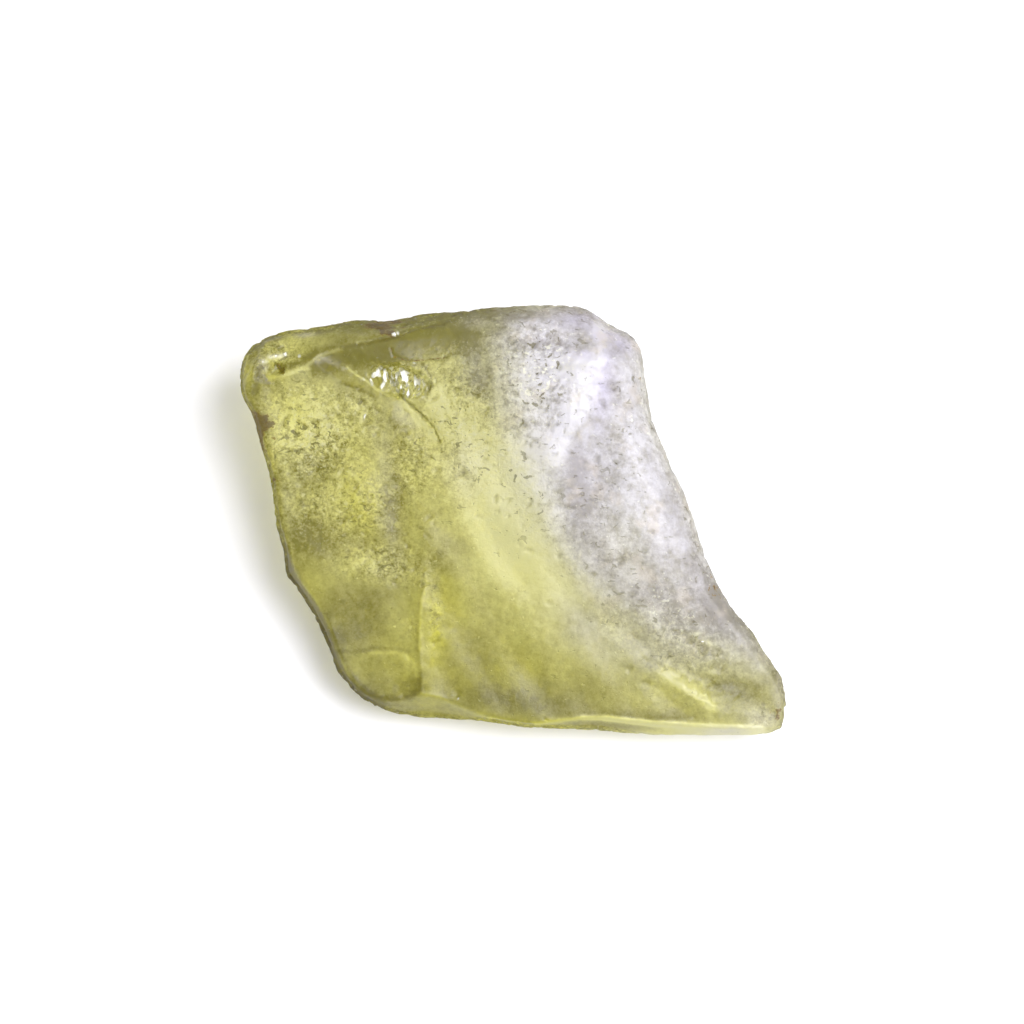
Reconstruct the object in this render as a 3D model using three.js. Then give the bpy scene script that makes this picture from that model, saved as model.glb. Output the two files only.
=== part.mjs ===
// A desert glass specimen: one flat, wind-worn lump of natural silica glass, lying on its broad underside.
//
// The stone is one piece, so it is one mesh. It is described as a solid function, negative inside the glass
// and positive outside, which is built up the way such a stone is: an outline, a broad front face of a few
// smooth facets, flake scars, a chipped hollow, a crack, wind pits, and a rounded underside with a flat to
// rest on. A ball of triangles is then drawn tight around that function and refined where the relief is fine.
//
// Lengths are in millimetres and angles in degrees. The front face has its own frame: u runs to the right
// along it, v up it, and w out of it. It leans towards the front, because the stone is a wedge, thick at
// the back.
import * as THREE from "three";
import { mergeVertices } from "three/addons/utils/BufferGeometryUtils.js";

// Driving dimensions.
const faceLean = 12;
const faceHeight = 10.4; // from the floor up to the middle of the face frame
const glassColour = 0xd2cf8e;

const degrees = Math.PI / 180;
const slope = (angle) => Math.tan(angle * degrees);

// ---------------------------------------------------------------- outlines

// The stone's outline seen square to its front face, clockwise from the knob at its upper left.
const stoneOutline = closedOutline([
  [-24.0, 12.4], [-23.7, 14.2], [-23.0, 15.2], [-21.7, 16.2], [-20.2, 16.7], // knob
  [-17.0, 17.1], [-14.6, 17.65], [-11.6, 17.7], [-9.8, 17.8], [-8.4, 18.15], // back edge and its notch
  [-4.0, 18.55], [0.6, 19.0], [4.2, 19.05], [6.2, 18.75], [8.5, 17.3], [10.3, 16.4], [11.15, 15.3],
  [11.6, 12.4], [12.2, 8.9], [13.25, 6.3], [14.7, 3.1], [15.9, -0.1], [16.8, -3.0], // hollow right edge
  [17.8, -5.3], [19.1, -7.3], [20.6, -9.1], [22.0, -11.2], [23.3, -13.2], [23.95, -15.3],
  [23.9, -17.3], [23.2, -18.3], [21.0, -19.0], [16.5, -19.25], [12.4, -19.0], [8.6, -18.35], // tip
  [5.0, -18.1], [1.0, -17.95], [-2.5, -17.45], [-7.0, -17.2], [-10.2, -16.8], [-12.6, -15.8], // front edge
  [-14.2, -14.6], [-15.5, -12.9], [-16.25, -10.8], [-17.3, -8.5], [-18.6, -6.3], [-19.9, -4.6],
  [-20.1, -2.6], [-20.75, -0.1], [-21.05, 2.4], [-21.3, 4.1], [-22.1, 6.6], [-22.75, 9.2], [-23.6, 10.6],
]);

// The crest round the front face. Past it the surface falls away in a bevel. On the right the crest lies
// outside the stone, because there the face simply rolls over the edge.
const faceCrest = closedOutline([
  [-22.9, 11.0], [-21.6, 13.2], [-19.4, 13.4], [-17.2, 14.5], [-14.2, 15.6], [-10.4, 16.4],
  [-7.0, 17.3], [-3.5, 18.9], [3, 23], [14, 22], [20, 10], [26, -4], [30, -14], [29, -18.3],
  [22.0, -18.0], [17.0, -17.8], [11.5, -17.4], [7.3, -17.0], [4.6, -17.15], [1.8, -17.4], [-0.8, -17.1],
  [-3.6, -16.3], [-5.6, -15.5], [-8.2, -15.1], [-10.6, -15.5], [-12.9, -14.8], [-14.5, -12.9], [-15.4, -10.7],
  [-16.3, -8.3], [-17.6, -6.2], [-18.9, -4.1], [-19.3, -1.6], [-20.2, 0.6], [-20.9, 3.5], [-22.3, 7.5],
]);

function closedOutline(corners) {
  const curve = new THREE.CatmullRomCurve3(
    corners.map(([u, v]) => new THREE.Vector3(u, v, 0)),
    true,
    "centripetal",
  );
  return curve.getPoints(corners.length * 3).slice(0, -1);
}

// How far a point lies inside an outline. It is negative outside.
function depthInside(outline, u, v) {
  let nearest = Infinity;
  let inside = false;
  for (let i = 0, j = outline.length - 1; i < outline.length; j = i++) {
    const a = outline[j];
    const b = outline[i];
    const du = b.x - a.x;
    const dv = b.y - a.y;
    const along = ((u - a.x) * du + (v - a.y) * dv) / (du * du + dv * dv);
    const share = Math.min(Math.max(along, 0), 1);
    const missU = u - a.x - share * du;
    const missV = v - a.y - share * dv;
    nearest = Math.min(nearest, missU * missU + missV * missV);
    if (a.y > v !== b.y > v && u < a.x + ((v - a.y) / dv) * du) inside = !inside;
  }
  return inside ? Math.sqrt(nearest) : -Math.sqrt(nearest);
}

// ---------------------------------------------------------------- blends

// The larger of two values, with the corner between them rounded over a given size.
function blendMax(a, b, size) {
  const overlap = Math.max(size - Math.abs(a - b), 0);
  return Math.max(a, b) + (overlap * overlap) / (4 * size);
}

const blendMin = (a, b, size) => -blendMax(-a, -b, size);

function smoothStep(low, high, x) {
  const t = Math.min(Math.max((x - low) / (high - low), 0), 1);
  return t * t * (3 - 2 * t);
}

// ---------------------------------------------------------------- front face

// The broad facets of the front face: a point on each, its height w, and how steeply it climbs to the
// right (u) and to the back (v).
const faceFacets = [
  { at: [1, 8], w: 1.6, right: 5, back: -1.5 }, // left face
  { at: [1, 8], w: 1.6, right: -9, back: -5 }, // right face
  { at: [8, -4], w: 1.54, right: -1, back: 9 }, // front face
  { at: [2, 15.8], w: 0.7, right: -5, back: -26 }, // roll over the back edge
  { at: [20, -14], w: -0.3, right: -9, back: 4 }, // tip
  { at: [-14, -9], w: 0.1, right: 9, back: 7 }, // lower left
];
const facetBlend = 3.0;

// Broad swells, positive, and hollows, negative: middle, half-lengths along and across, turn, and height.
const swells = [
  { at: [5.6, 12.0], size: [4.6, 2.2], turn: 68, height: 0.55 }, // crest at the upper right
  { at: [7.2, 3.2], size: [6.5, 2.2], turn: 82, height: -0.5 }, // trough beside it
  { at: [10.6, 3.5], size: [7.0, 1.9], turn: 112, height: 0.4 },
  { at: [3.5, 15.7], size: [5.0, 1.0], turn: 2, height: -0.35 }, // groove along the back
  { at: [-10.0, 2.0], size: [5.0, 1.4], turn: 96, height: -0.5 }, // trough on the left face
  { at: [-14.0, 2.0], size: [2.6, 2.0], turn: 40, height: 0.35 },
  { at: [-16.8, 4.8], size: [3.8, 1.1], turn: 48, height: -0.45 },
  { at: [-7.9, -9.0], size: [6.6, 1.1], turn: 91, height: 0.55 }, // upright ridge
  { at: [15.0, -14.6], size: [3.8, 0.9], turn: -34, height: 0.6 }, // ridge towards the tip
  { at: [18.9, -14.3], size: [2.2, 1.3], turn: -20, height: -0.65 }, // hollow beside it
  { at: [12.5, -11.5], size: [4.0, 1.0], turn: -35, height: -0.4 },
  { at: [-12.5, -4.3], size: [3.5, 1.3], turn: -8, height: 0.35 },
  { at: [-22.4, 12.9], size: [1.2, 2.1], turn: 0, height: 0.65 }, // knob
  { at: [-20.6, 13.4], size: [1.0, 0.7], turn: 20, height: -0.8 }, // pocket beside the knob
];

// Flake scars: shallow dished facets with a crisp edge. depth is how far the middle lies under the facets.
const flakeScars = [
  { at: [-12.3, -8.9], size: [4.4, 2.4], turn: 4, depth: 0.5 },
  { at: [-11.5, -13.3], size: [3.6, 2.3], turn: -6, depth: 0.6 }, // round window at the lower left
  { at: [0.2, -11.8], size: [7.6, 4.8], turn: -8, depth: 0.7 }, // broad dish in front
  { at: [-13.2, 13.0], size: [4.6, 1.5], turn: -24, depth: 0.6 }, // smooth flake above the chip
  { at: [-8.2, 8.4], size: [2.8, 1.4], turn: -50, depth: 0.5 }, // spall inside the crack
];
const scarBlend = 0.35;

// The chipped hollow: a steep-walled oval whose floor is small tilted planes that meet in sharp edges.
const chip = { at: [-10.0, 12.2], size: [3.0, 1.45], turn: -12, depth: 1.1 };
const chipWall = 2.2;
const chipBlend = 0.15;
const chipFacets = [
  { at: [-11.8, 12.7], w: -0.5, right: -36, back: 14 },
  { at: [-10.4, 12.9], w: -0.8, right: 20, back: 32 },
  { at: [-9.3, 12.0], w: -0.9, right: -18, back: -30 },
  { at: [-8.2, 11.9], w: -0.6, right: 34, back: -10 },
];

// The crescent crack that runs out of the chip.
const crackPath = [[-9.9, 11.1], [-8.8, 10.0], [-7.7, 9.0], [-6.9, 8.0], [-6.4, 7.0]];
const crack = { width: 0.35, depth: 0.45 };

// The larger wind pits of the front face, as [u, v, radius].
const pitRelief = 0.55; // depth as a share of the radius
const facePits = [
  [-15.5, 9.4, 0.8], [-14.5, 8.4, 0.7], [-12.7, 8.8, 0.7], [-11.9, 7.6, 0.6], [-17.3, 7.5, 0.55],
  [-19.5, 6.2, 0.5], [-16.0, 6.3, 0.5], [-19.3, 4.3, 0.55], [-17.2, 4.5, 0.5], [-14.9, 3.0, 0.5],
  [-15.8, 1.6, 0.6], [-18.8, 8.8, 0.45], [-6.6, 4.5, 0.55], [-3.5, 10.9, 0.55], [-0.2, 13.7, 0.5],
  [3.8, 13.5, 0.75], [2.5, 9.7, 0.55], [0.8, 8.5, 0.55], [1.7, 8.6, 0.55], [7.3, 5.5, 0.6],
  [9.1, 11.9, 0.6], [1.3, -2.5, 0.5], [9.2, -3.2, 0.7], [13.0, -3.1, 0.5], [15.5, -10.2, 0.7],
  [16.4, -10.7, 0.7], [17.5, -11.3, 0.6], [18.0, -12.3, 0.55], [12.9, -9.5, 0.6], [14.9, -9.7, 0.55],
  [11.5, -14.0, 0.6], [10.0, -12.8, 0.5], [-7.8, -4.2, 0.5], [-4.8, -15.0, 0.6], [10.7, 12.4, 0.6],
];

// How steeply the bevel past the crest falls, and how far the crest is rounded.
const bevelSlopes = { front: 58, back: 36 };
const bevelBlend = 0.45;

// Offsets of a point from the middle of an oval, along and across it, each as a share of its half-length.
function inOval({ at, size, turn }, u, v) {
  const c = Math.cos(turn * degrees);
  const s = Math.sin(turn * degrees);
  const du = u - at[0];
  const dv = v - at[1];
  return [(c * du + s * dv) / size[0], (c * dv - s * du) / size[1]];
}

const planeHeight = ({ at, w, right, back }, u, v) =>
  w + slope(right) * (u - at[0]) + slope(back) * (v - at[1]);

function distanceToPath(path, u, v) {
  let nearest = Infinity;
  for (let i = 1; i < path.length; i++) {
    const [[au, av], [bu, bv]] = [path[i - 1], path[i]];
    const [du, dv] = [bu - au, bv - av];
    const along = ((u - au) * du + (v - av) * dv) / (du * du + dv * dv);
    const share = Math.min(Math.max(along, 0), 1);
    nearest = Math.min(nearest, Math.hypot(u - au - share * du, v - av - share * dv));
  }
  return nearest;
}

function facetHeight(u, v) {
  let height = planeHeight(faceFacets[0], u, v);
  for (const facet of faceFacets.slice(1)) {
    height = blendMin(height, planeHeight(facet, u, v), facetBlend);
  }
  for (const swell of swells) {
    const [a, b] = inOval(swell, u, v);
    height += swell.height * Math.exp(-(a * a + b * b));
  }
  return height;
}

function chipHeight(u, v, ground) {
  const [a, b] = inOval(chip, u, v);
  const wall = chip.depth * chipWall * (a * a + b * b - 1);
  const floor = Math.max(...chipFacets.map((facet) => planeHeight(facet, u, v)));
  return ground + Math.max(wall, floor, -chip.depth);
}

function faceHeightAt(u, v) {
  const ground = facetHeight(u, v);
  let height = ground;
  for (const scar of flakeScars) {
    const [a, b] = inOval(scar, u, v);
    height = blendMin(height, ground + scar.depth * (a * a + b * b - 1), scarBlend);
  }
  height = blendMin(height, chipHeight(u, v, ground), chipBlend);
  height -= crack.depth * Math.exp(-((distanceToPath(crackPath, u, v) / crack.width) ** 2));
  for (const [pu, pv, radius] of facePits) {
    const share = Math.hypot(u - pu, v - pv) / radius;
    if (share < 1) height -= pitRelief * radius * (1 - share * share) ** 2;
  }
  const past = blendMax(-depthInside(faceCrest, u, v), 0, bevelBlend);
  const steep = slope(bevelSlopes.front + (bevelSlopes.back - bevelSlopes.front) * smoothStep(-2, 6, v));
  return height - steep * past;
}

// ---------------------------------------------------------------- sides and underside

// A place given as right, back and up from the floor under the middle of the stone, in the face frame.
const toFace = (right, back, up) => turnToFace(new THREE.Vector3(right, back, up - faceHeight));
const turnToFace = (direction) => direction.applyAxisAngle(new THREE.Vector3(1, 0, 0), -faceLean * degrees);

const floorNormal = turnToFace(new THREE.Vector3(0, 0, 1));
const floorMiddle = toFace(0, 0, 0);
const heightAboveFloor = (q) => floorNormal.dot(q) + faceHeight;

// The way out of the glass on an underside facet, from the compass direction that it faces and how steeply
// it climbs from the floor.
function undersideNormal(facing, climb) {
  const [f, c] = [facing * degrees, climb * degrees];
  return turnToFace(new THREE.Vector3(Math.cos(f) * Math.sin(c), Math.sin(f) * Math.sin(c), -Math.cos(c)));
}

// The side is widest in a band between the face and the lower bevel. The bevel starts at this depth below the
// face frame, lower at the back, and undercuts the stone at this angle, steeper at the back.
const bandDepth = (v) => 5.1 + 0.08 * v;
const undercut = (v) => 43 + 0.4 * v;

// How far the edge between the face and the side is rounded: tight in front, broad at the back and upper
// right.
const edgeRounding = (q) => 1.1 + 2.6 * smoothStep(-2, 12, 0.6 * q.x + 0.8 * q.y);

// The solid starts out a little wider than its outline, by what the rounding takes off. The thin front edge
// loses the most, at the lower left and under the tip.
function outlineSpare(q) {
  const left = 1 - smoothStep(-5, -1, q.x);
  const right = smoothStep(8, 13, q.x);
  const atLeft = 0.7 * smoothStep(-2, -13, q.y);
  const between = 0.2 * smoothStep(-12, -16, q.y);
  const atRight = 1.1 * smoothStep(-10.5, -16, q.y);
  return 0.04 * edgeRounding(q) + left * atLeft + (1 - left - right) * between + right * atRight;
}
const underRounding = 1.8;

// Flatter facets that take the roundness off the underside: the compass direction that each faces, how
// steeply it climbs from the floor, and how far it stays clear of the band.
const underFacets = [
  { facing: 12, climb: 50, clear: 0.1 },
  { facing: 62, climb: 58, clear: 0.3 },
  { facing: 104, climb: 60, clear: 0.2 },
  { facing: 150, climb: 47, clear: 0.2 },
  { facing: 200, climb: 52, clear: 0.2 },
  { facing: 232, climb: 36, clear: 0.1 },
  { facing: 278, climb: 35, clear: 0.6 },
  { facing: 325, climb: 30, clear: 1.2 },
].map(({ facing, climb, clear }) => {
  const normal = undersideNormal(facing, climb);
  const reaches = stoneOutline.map((p) => normal.dot(new THREE.Vector3(p.x, p.y, -bandDepth(p.y))));
  return { normal, offset: Math.max(...reaches) + clear };
});

// Gentle facets that leave only the middle of the underside flat: the direction they face, how steeply
// they climb, and how far out from the middle they leave the floor.
const lapFacets = [
  { facing: 15, climb: 9, reach: 9.5 },
  { facing: 85, climb: 12, reach: 9.0 },
  { facing: 140, climb: 8, reach: 8.0 },
  { facing: 205, climb: 13, reach: 11.0 },
  { facing: 265, climb: 10, reach: 8.5 },
  { facing: 318, climb: 7, reach: 10.0 },
].map(({ facing, climb, reach }) => {
  const normal = undersideNormal(facing, climb);
  return { normal, offset: normal.dot(floorMiddle) + reach * Math.sin(climb * degrees) };
});
const lapRounding = 0.6;
const restRounding = 1.0; // round the edge of the flat that it rests on

// Scars on the sides and underside, as balls cut out of the glass: right, back, up, and radius.
const sideScars = [
  { at: [18.0, 10.3, 4.6], radius: 6.3 },
  { at: [-3.0, 23.5, 5.5], radius: 6.5 },
  { at: [-15.0, 22.0, 4.5], radius: 6.5 },
  { at: [-26.5, 2.5, 2.5], radius: 7.0 },
  { at: [-20.0, -13.0, 0.5], radius: 6.0 },
  { at: [-1.0, -22.5, -1.0], radius: 6.5 },
  { at: [22.0, -1.5, 1.0], radius: 6.0 },
  { at: [10.0, -22.0, -2.0], radius: 6.0 },
].map(({ at, radius }) => ({ centre: toFace(...at), radius }));
const sideScarBlend = 0.8;

// Long ripples left by the wind, over everything but the flat underneath.
const rippleHeight = 0.11;
const ripple = (q) =>
  rippleHeight *
  (Math.sin(0.62 * q.x + 0.31 * q.y + 0.4) * Math.sin(0.55 * q.y - 0.42 * q.z) +
    0.6 * Math.sin(1.21 * q.x - 0.7 * q.z + 1.7) * Math.sin(1.05 * q.y + 0.5 * q.x));

// The solid function.
function glass(q) {
  const depth = depthInside(stoneOutline, q.x, q.y) + outlineSpare(q);
  const angle = undercut(q.y) * degrees;
  const face = 0.85 * (q.z - faceHeightAt(q.x, q.y));
  const lowerBevel = -Math.cos(angle) * (q.z + bandDepth(q.y)) - Math.sin(angle) * depth;
  let under = lowerBevel;
  for (const { normal, offset } of underFacets) {
    under = blendMax(under, normal.dot(q) - offset, underRounding);
  }
  for (const { centre, radius } of sideScars) {
    under = blendMax(under, radius - centre.distanceTo(q), sideScarBlend);
  }
  for (const { normal, offset } of lapFacets) {
    under = blendMax(under, normal.dot(q) - offset, lapRounding);
  }
  let surface = blendMax(-depth, face, edgeRounding(q));
  surface = blendMax(surface, under, underRounding);
  return blendMax(surface + ripple(q), -heightAboveFloor(q), restRounding);
}

// ---------------------------------------------------------------- mesh

// Edge length wanted near a point: fine at pits, chip and crack, medium on crests, coarse elsewhere.
const edgeLengths = { under: 1.8, side: 0.95, face: 1.15, crest: 0.65, crack: 0.42 };
const nearEdge = 1.2;
const nearCrest = 0.7;
const underFace = 1.5;

function edgeWanted(q) {
  const atSide = depthInside(stoneOutline, q.x, q.y) < nearEdge;
  if (q.z < faceHeightAt(q.x, q.y) - underFace) return atSide ? edgeLengths.side : edgeLengths.under;
  let wanted = atSide ? edgeLengths.side : edgeLengths.face;
  if (Math.abs(depthInside(faceCrest, q.x, q.y)) < nearCrest) wanted = edgeLengths.crest;
  for (const [u, v, radius] of facePits) {
    if (Math.hypot(q.x - u, q.y - v) < radius * 1.15) wanted = Math.min(wanted, radius * 0.75);
  }
  const [a, b] = inOval(chip, q.x, q.y);
  if (Math.hypot(a, b) < 1.2 || distanceToPath(crackPath, q.x, q.y) < 0.7) wanted = edgeLengths.crack;
  return wanted;
}

const probe = 0.01;

// The function's value at a point and the direction and steepness in which it rises there.
function riseAt(p) {
  const near = new THREE.Vector3();
  const here = glass(p);
  const rise = new THREE.Vector3(
    glass(near.set(p.x + probe, p.y, p.z)) - here,
    glass(near.set(p.x, p.y + probe, p.z)) - here,
    glass(near.set(p.x, p.y, p.z + probe)) - here,
  ).divideScalar(probe);
  return { here, rise };
}

// Moves a point onto the surface of the glass, at most a given way per step.
function settle(p, steps, reach) {
  for (let i = 0; i < steps; i++) {
    const { here, rise } = riseAt(p);
    p.addScaledVector(rise, Math.min(Math.max(-here / rise.lengthSq(), -reach), reach));
  }
  return p;
}

// The heart of the stone, from which every part of its surface can be seen, and how far to look for it.
const heart = new THREE.Vector3(-1, 0, -4.5);
const farthest = new THREE.Vector3(42, 34, 20);

// A ball of triangles whose points lie where lines from the heart leave the glass.
function startingBall() {
  const ball = new THREE.IcosahedronGeometry(1, 11);
  ball.deleteAttribute("normal");
  ball.deleteAttribute("uv");
  const merged = mergeVertices(ball);
  const places = merged.getAttribute("position");
  const points = [];
  for (let i = 0; i < places.count; i++) {
    const ray = new THREE.Vector3().fromBufferAttribute(places, i).multiply(farthest);
    let [inner, outer] = [0, 1];
    for (let halving = 0; halving < 16; halving++) {
      const middle = (inner + outer) / 2;
      if (glass(heart.clone().addScaledVector(ray, middle)) < 0) inner = middle;
      else outer = middle;
    }
    points.push(heart.clone().addScaledVector(ray, inner));
  }
  const corners = merged.index.array;
  const triangles = [];
  for (let i = 0; i < corners.length; i += 3) triangles.push([corners[i], corners[i + 1], corners[i + 2]]);
  return { points, triangles };
}

// Slides every point along the surface towards the middle of its neighbours.
function relax({ points, triangles }, rounds, share) {
  for (let round = 0; round < rounds; round++) {
    const sums = points.map(() => new THREE.Vector3());
    const counts = new Array(points.length).fill(0);
    for (const [a, b, c] of triangles) {
      for (const [from, to] of [[a, b], [b, c], [c, a]]) {
        sums[from].add(points[to]);
        counts[from]++;
      }
    }
    points.forEach((p, i) => {
      const pull = sums[i].divideScalar(counts[i]).sub(p).projectOnPlane(riseAt(p).rise.normalize());
      settle(p.addScaledVector(pull, share), 1, 0.5);
    });
  }
}

// Splits each edge that is longer than wanted, and gives each triangle the pieces that this leaves it in.
function refine({ points, triangles }) {
  const middles = new Map();
  const middleOf = (a, b) => {
    const key = a < b ? a * 1e6 + b : b * 1e6 + a;
    if (!middles.has(key)) {
      const middle = points[a].clone().lerp(points[b], 0.5);
      const long = points[a].distanceTo(points[b]) > 1.35 * edgeWanted(middle);
      middles.set(key, long ? points.push(settle(middle, 3, 0.5)) - 1 : -1);
    }
    return middles.get(key);
  };
  const finer = [];
  for (const corners of triangles) {
    const cut = corners.map((corner, i) => middleOf(corner, corners[(i + 1) % 3]));
    const count = cut.filter((middle) => middle >= 0).length;
    // Turned so that the only cut edge, or the only uncut one, is the last.
    const turn = count === 1 ? (cut.findIndex((middle) => middle >= 0) + 1) % 3 : (cut.indexOf(-1) + 1) % 3;
    const [a, b, c] = [0, 1, 2].map((i) => corners[(i + turn) % 3]);
    const [ab, bc, ca] = [0, 1, 2].map((i) => cut[(i + turn) % 3]);
    if (count === 0) finer.push([a, b, c]);
    if (count === 1) finer.push([c, ca, b], [ca, a, b]);
    if (count === 2) {
      const acrossA = points[a].distanceTo(points[bc]) < points[ab].distanceTo(points[c]);
      finer.push([ab, b, bc], ...(acrossA ? [[a, ab, bc], [a, bc, c]] : [[a, ab, c], [ab, bc, c]]));
    }
    if (count === 3) finer.push([a, ab, ca], [ab, b, bc], [ca, bc, c], [ab, bc, ca]);
  }
  return { points, triangles: finer };
}

const floorSnap = 0.03;

function glassGeometry() {
  let mesh = startingBall();
  relax(mesh, 6, 0.5);
  for (const rounds of [2, 2, 1, 1, 0]) {
    mesh = refine(mesh);
    relax(mesh, rounds, 0.35);
  }
  for (const p of mesh.points) {
    settle(p, 2, 0.3);
    const height = heightAboveFloor(p);
    if (height < floorSnap) p.addScaledVector(floorNormal, -height);
  }
  const geometry = new THREE.BufferGeometry().setFromPoints(mesh.points);
  geometry.setIndex(mesh.triangles.flat());
  geometry.computeVertexNormals();
  return geometry;
}

// ---------------------------------------------------------------- the specimen

function specimen() {
  const material = new THREE.MeshStandardMaterial({ color: glassColour, roughness: 0.45, metalness: 0 });
  const stone = new THREE.Mesh(glassGeometry(), material);
  stone.name = "desert_glass";
  stone.rotation.x = faceLean * degrees;
  const box = new THREE.Box3().setFromObject(stone, true);
  stone.position.set(-(box.min.x + box.max.x) / 2, -(box.min.y + box.max.y) / 2, -box.min.z);
  const group = new THREE.Group();
  group.add(stone);
  return group;
}

export default specimen();
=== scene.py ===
import math

import bpy
import numpy as np
from mathutils import Matrix, Vector, noise


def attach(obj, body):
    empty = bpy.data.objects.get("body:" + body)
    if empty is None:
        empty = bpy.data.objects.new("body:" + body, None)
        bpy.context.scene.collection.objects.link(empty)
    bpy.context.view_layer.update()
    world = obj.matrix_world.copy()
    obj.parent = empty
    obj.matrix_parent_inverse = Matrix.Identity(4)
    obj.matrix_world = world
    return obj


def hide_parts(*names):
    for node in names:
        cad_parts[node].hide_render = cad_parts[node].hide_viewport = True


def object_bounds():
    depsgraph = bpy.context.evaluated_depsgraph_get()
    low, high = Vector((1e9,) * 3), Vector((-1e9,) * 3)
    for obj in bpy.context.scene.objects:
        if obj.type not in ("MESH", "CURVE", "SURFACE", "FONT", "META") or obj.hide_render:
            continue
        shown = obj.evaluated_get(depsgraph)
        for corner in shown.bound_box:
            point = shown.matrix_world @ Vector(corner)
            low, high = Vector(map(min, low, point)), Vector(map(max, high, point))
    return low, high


# A desert glass specimen: one natural lump of yellow silica glass, frosted, pitted and flaked by the wind.
#
# The shell of the CAD solid is made finer. Its front face is carved again with the small relief, and its
# sides and underside get the wear of the wind. Lengths are in millimetres until the mesh is made. The front
# face has its own frame: u runs to the right along it, v up it, and w out of it.
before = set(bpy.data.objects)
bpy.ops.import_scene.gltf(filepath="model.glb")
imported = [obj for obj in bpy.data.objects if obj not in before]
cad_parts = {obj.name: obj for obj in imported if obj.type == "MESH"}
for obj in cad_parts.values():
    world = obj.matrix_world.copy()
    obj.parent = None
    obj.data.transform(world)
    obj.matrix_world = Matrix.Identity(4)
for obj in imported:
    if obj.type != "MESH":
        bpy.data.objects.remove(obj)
cad_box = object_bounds()

MILLIMETRE = 0.001
# How far the face leans, and where its own frame starts.
FACE_LEAN = math.radians(12)
FACE_ORIGIN = np.array([-0.0534, -0.9991, 10.4])
FACE_TURN = np.array(Matrix.Rotation(FACE_LEAN, 3, "X"))
# Half the length and half the height of the face.
FACE_HALF = (24, 19)


def to_face(row_points):
    return (row_points - FACE_ORIGIN) @ FACE_TURN


def to_row(face_points):
    return face_points @ FACE_TURN.T + FACE_ORIGIN


# ---------------------------------------------------------------- small maths

# How fast the layers of a cloud's noise weaken, and how much finer each is than the one before.
CLOUD_FADE = 0.8
CLOUD_STEP = 2.1
# Into how many pieces a smooth curve cuts each of its spans.
CURVE_PIECES = 3


def smooth_step(low, high, x):
    share = np.clip((x - low) / (high - low), 0, 1)
    return share * share * (3 - 2 * share)


def rounded_max(a, b, size):
    overlap = np.maximum(size - np.abs(a - b), 0)
    return np.maximum(a, b) + overlap * overlap / (4 * size)


def rounded_min(a, b, size):
    return -rounded_max(-a, -b, size)


def slope(angle):
    return math.tan(math.radians(angle))


def fading(distance, size):
    """1 on a line and fading away from it over a size."""
    return np.exp(-((distance / size) ** 2))


def oval_offsets(middle, size, turn, u, v):
    """How far points lie from an oval's middle, along and across it, in its own half-lengths."""
    c, s = math.cos(math.radians(turn)), math.sin(math.radians(turn))
    du, dv = u - middle[0], v - middle[1]
    return (c * du + s * dv) / size[0], (c * dv - s * du) / size[1]


def oval_hill(middle, size, turn, u, v):
    a, b = oval_offsets(middle, size, turn, u, v)
    return np.exp(-(a * a + b * b))


def off_segment(start, end, u, v):
    """How far points lie from the nearest spot of a straight segment, along u and along v."""
    (start_u, start_v), (end_u, end_v) = start, end
    du, dv = end_u - start_u, end_v - start_v
    share = np.clip(((u - start_u) * du + (v - start_v) * dv) / (du * du + dv * dv), 0, 1)
    return u - start_u - share * du, v - start_v - share * dv


def distance_to_path(path, u, v):
    nearest = np.full(u.shape, np.inf)
    for start, end in zip(path, path[1:]):
        nearest = np.minimum(nearest, np.hypot(*off_segment(start, end, u, v)))
    return nearest


def path_hill(path, half_width, u, v):
    return fading(distance_to_path(path, u, v), half_width)


def depth_inside(outline, u, v):
    """How far points lie inside a closed curve. Negative outside."""
    nearest = np.full(u.shape, np.inf)
    inside = np.zeros(u.shape, bool)
    for start, end in zip(np.roll(outline, 1, axis=0), outline):
        off_u, off_v = off_segment(start, end, u, v)
        nearest = np.minimum(nearest, off_u**2 + off_v**2)
        (start_u, start_v), (end_u, end_v) = start, end
        if end_v != start_v:
            crossing = start_u + (v - start_v) / (end_v - start_v) * (end_u - start_u)
            inside ^= ((start_v > v) != (end_v > v)) & (u < crossing)
    return np.where(inside, 1, -1) * np.sqrt(nearest)


def closed_curve(corners):
    """A smooth closed curve through corners, with knots spaced by the root of the distance."""
    corners = np.array(corners, float)
    curve = []
    for i in range(len(corners)):
        a, b, c, d = (corners[(i + k) % len(corners)] for k in (-1, 0, 1, 2))
        t0, t1, t2, t3 = np.cumsum([0, *(math.sqrt(np.hypot(*gap)) for gap in (b - a, c - b, d - c))])
        for t in np.linspace(t1, t2, CURVE_PIECES, endpoint=False):
            ab = ((t1 - t) * a + (t - t0) * b) / (t1 - t0)
            bc = ((t2 - t) * b + (t - t1) * c) / (t2 - t1)
            cd = ((t3 - t) * c + (t - t2) * d) / (t3 - t2)
            abc = ((t2 - t) * ab + (t - t0) * bc) / (t2 - t0)
            bcd = ((t3 - t) * bc + (t - t1) * cd) / (t3 - t1)
            curve.append(((t2 - t) * abc + (t - t1) * bcd) / (t2 - t1))
    return np.array(curve)


def cloud(points, size, layers=3, *, seed):
    """Layered noise between about -1 and 1, with lumps of a given size."""
    shift = Vector((seed, 1.7 * seed, -2.3 * seed))
    places = (Vector(point) / size + shift for point in points.tolist())
    return np.array([noise.fractal(place, CLOUD_FADE, CLOUD_STEP, layers) for place in places])


# ---------------------------------------------------------------- front face

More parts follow.
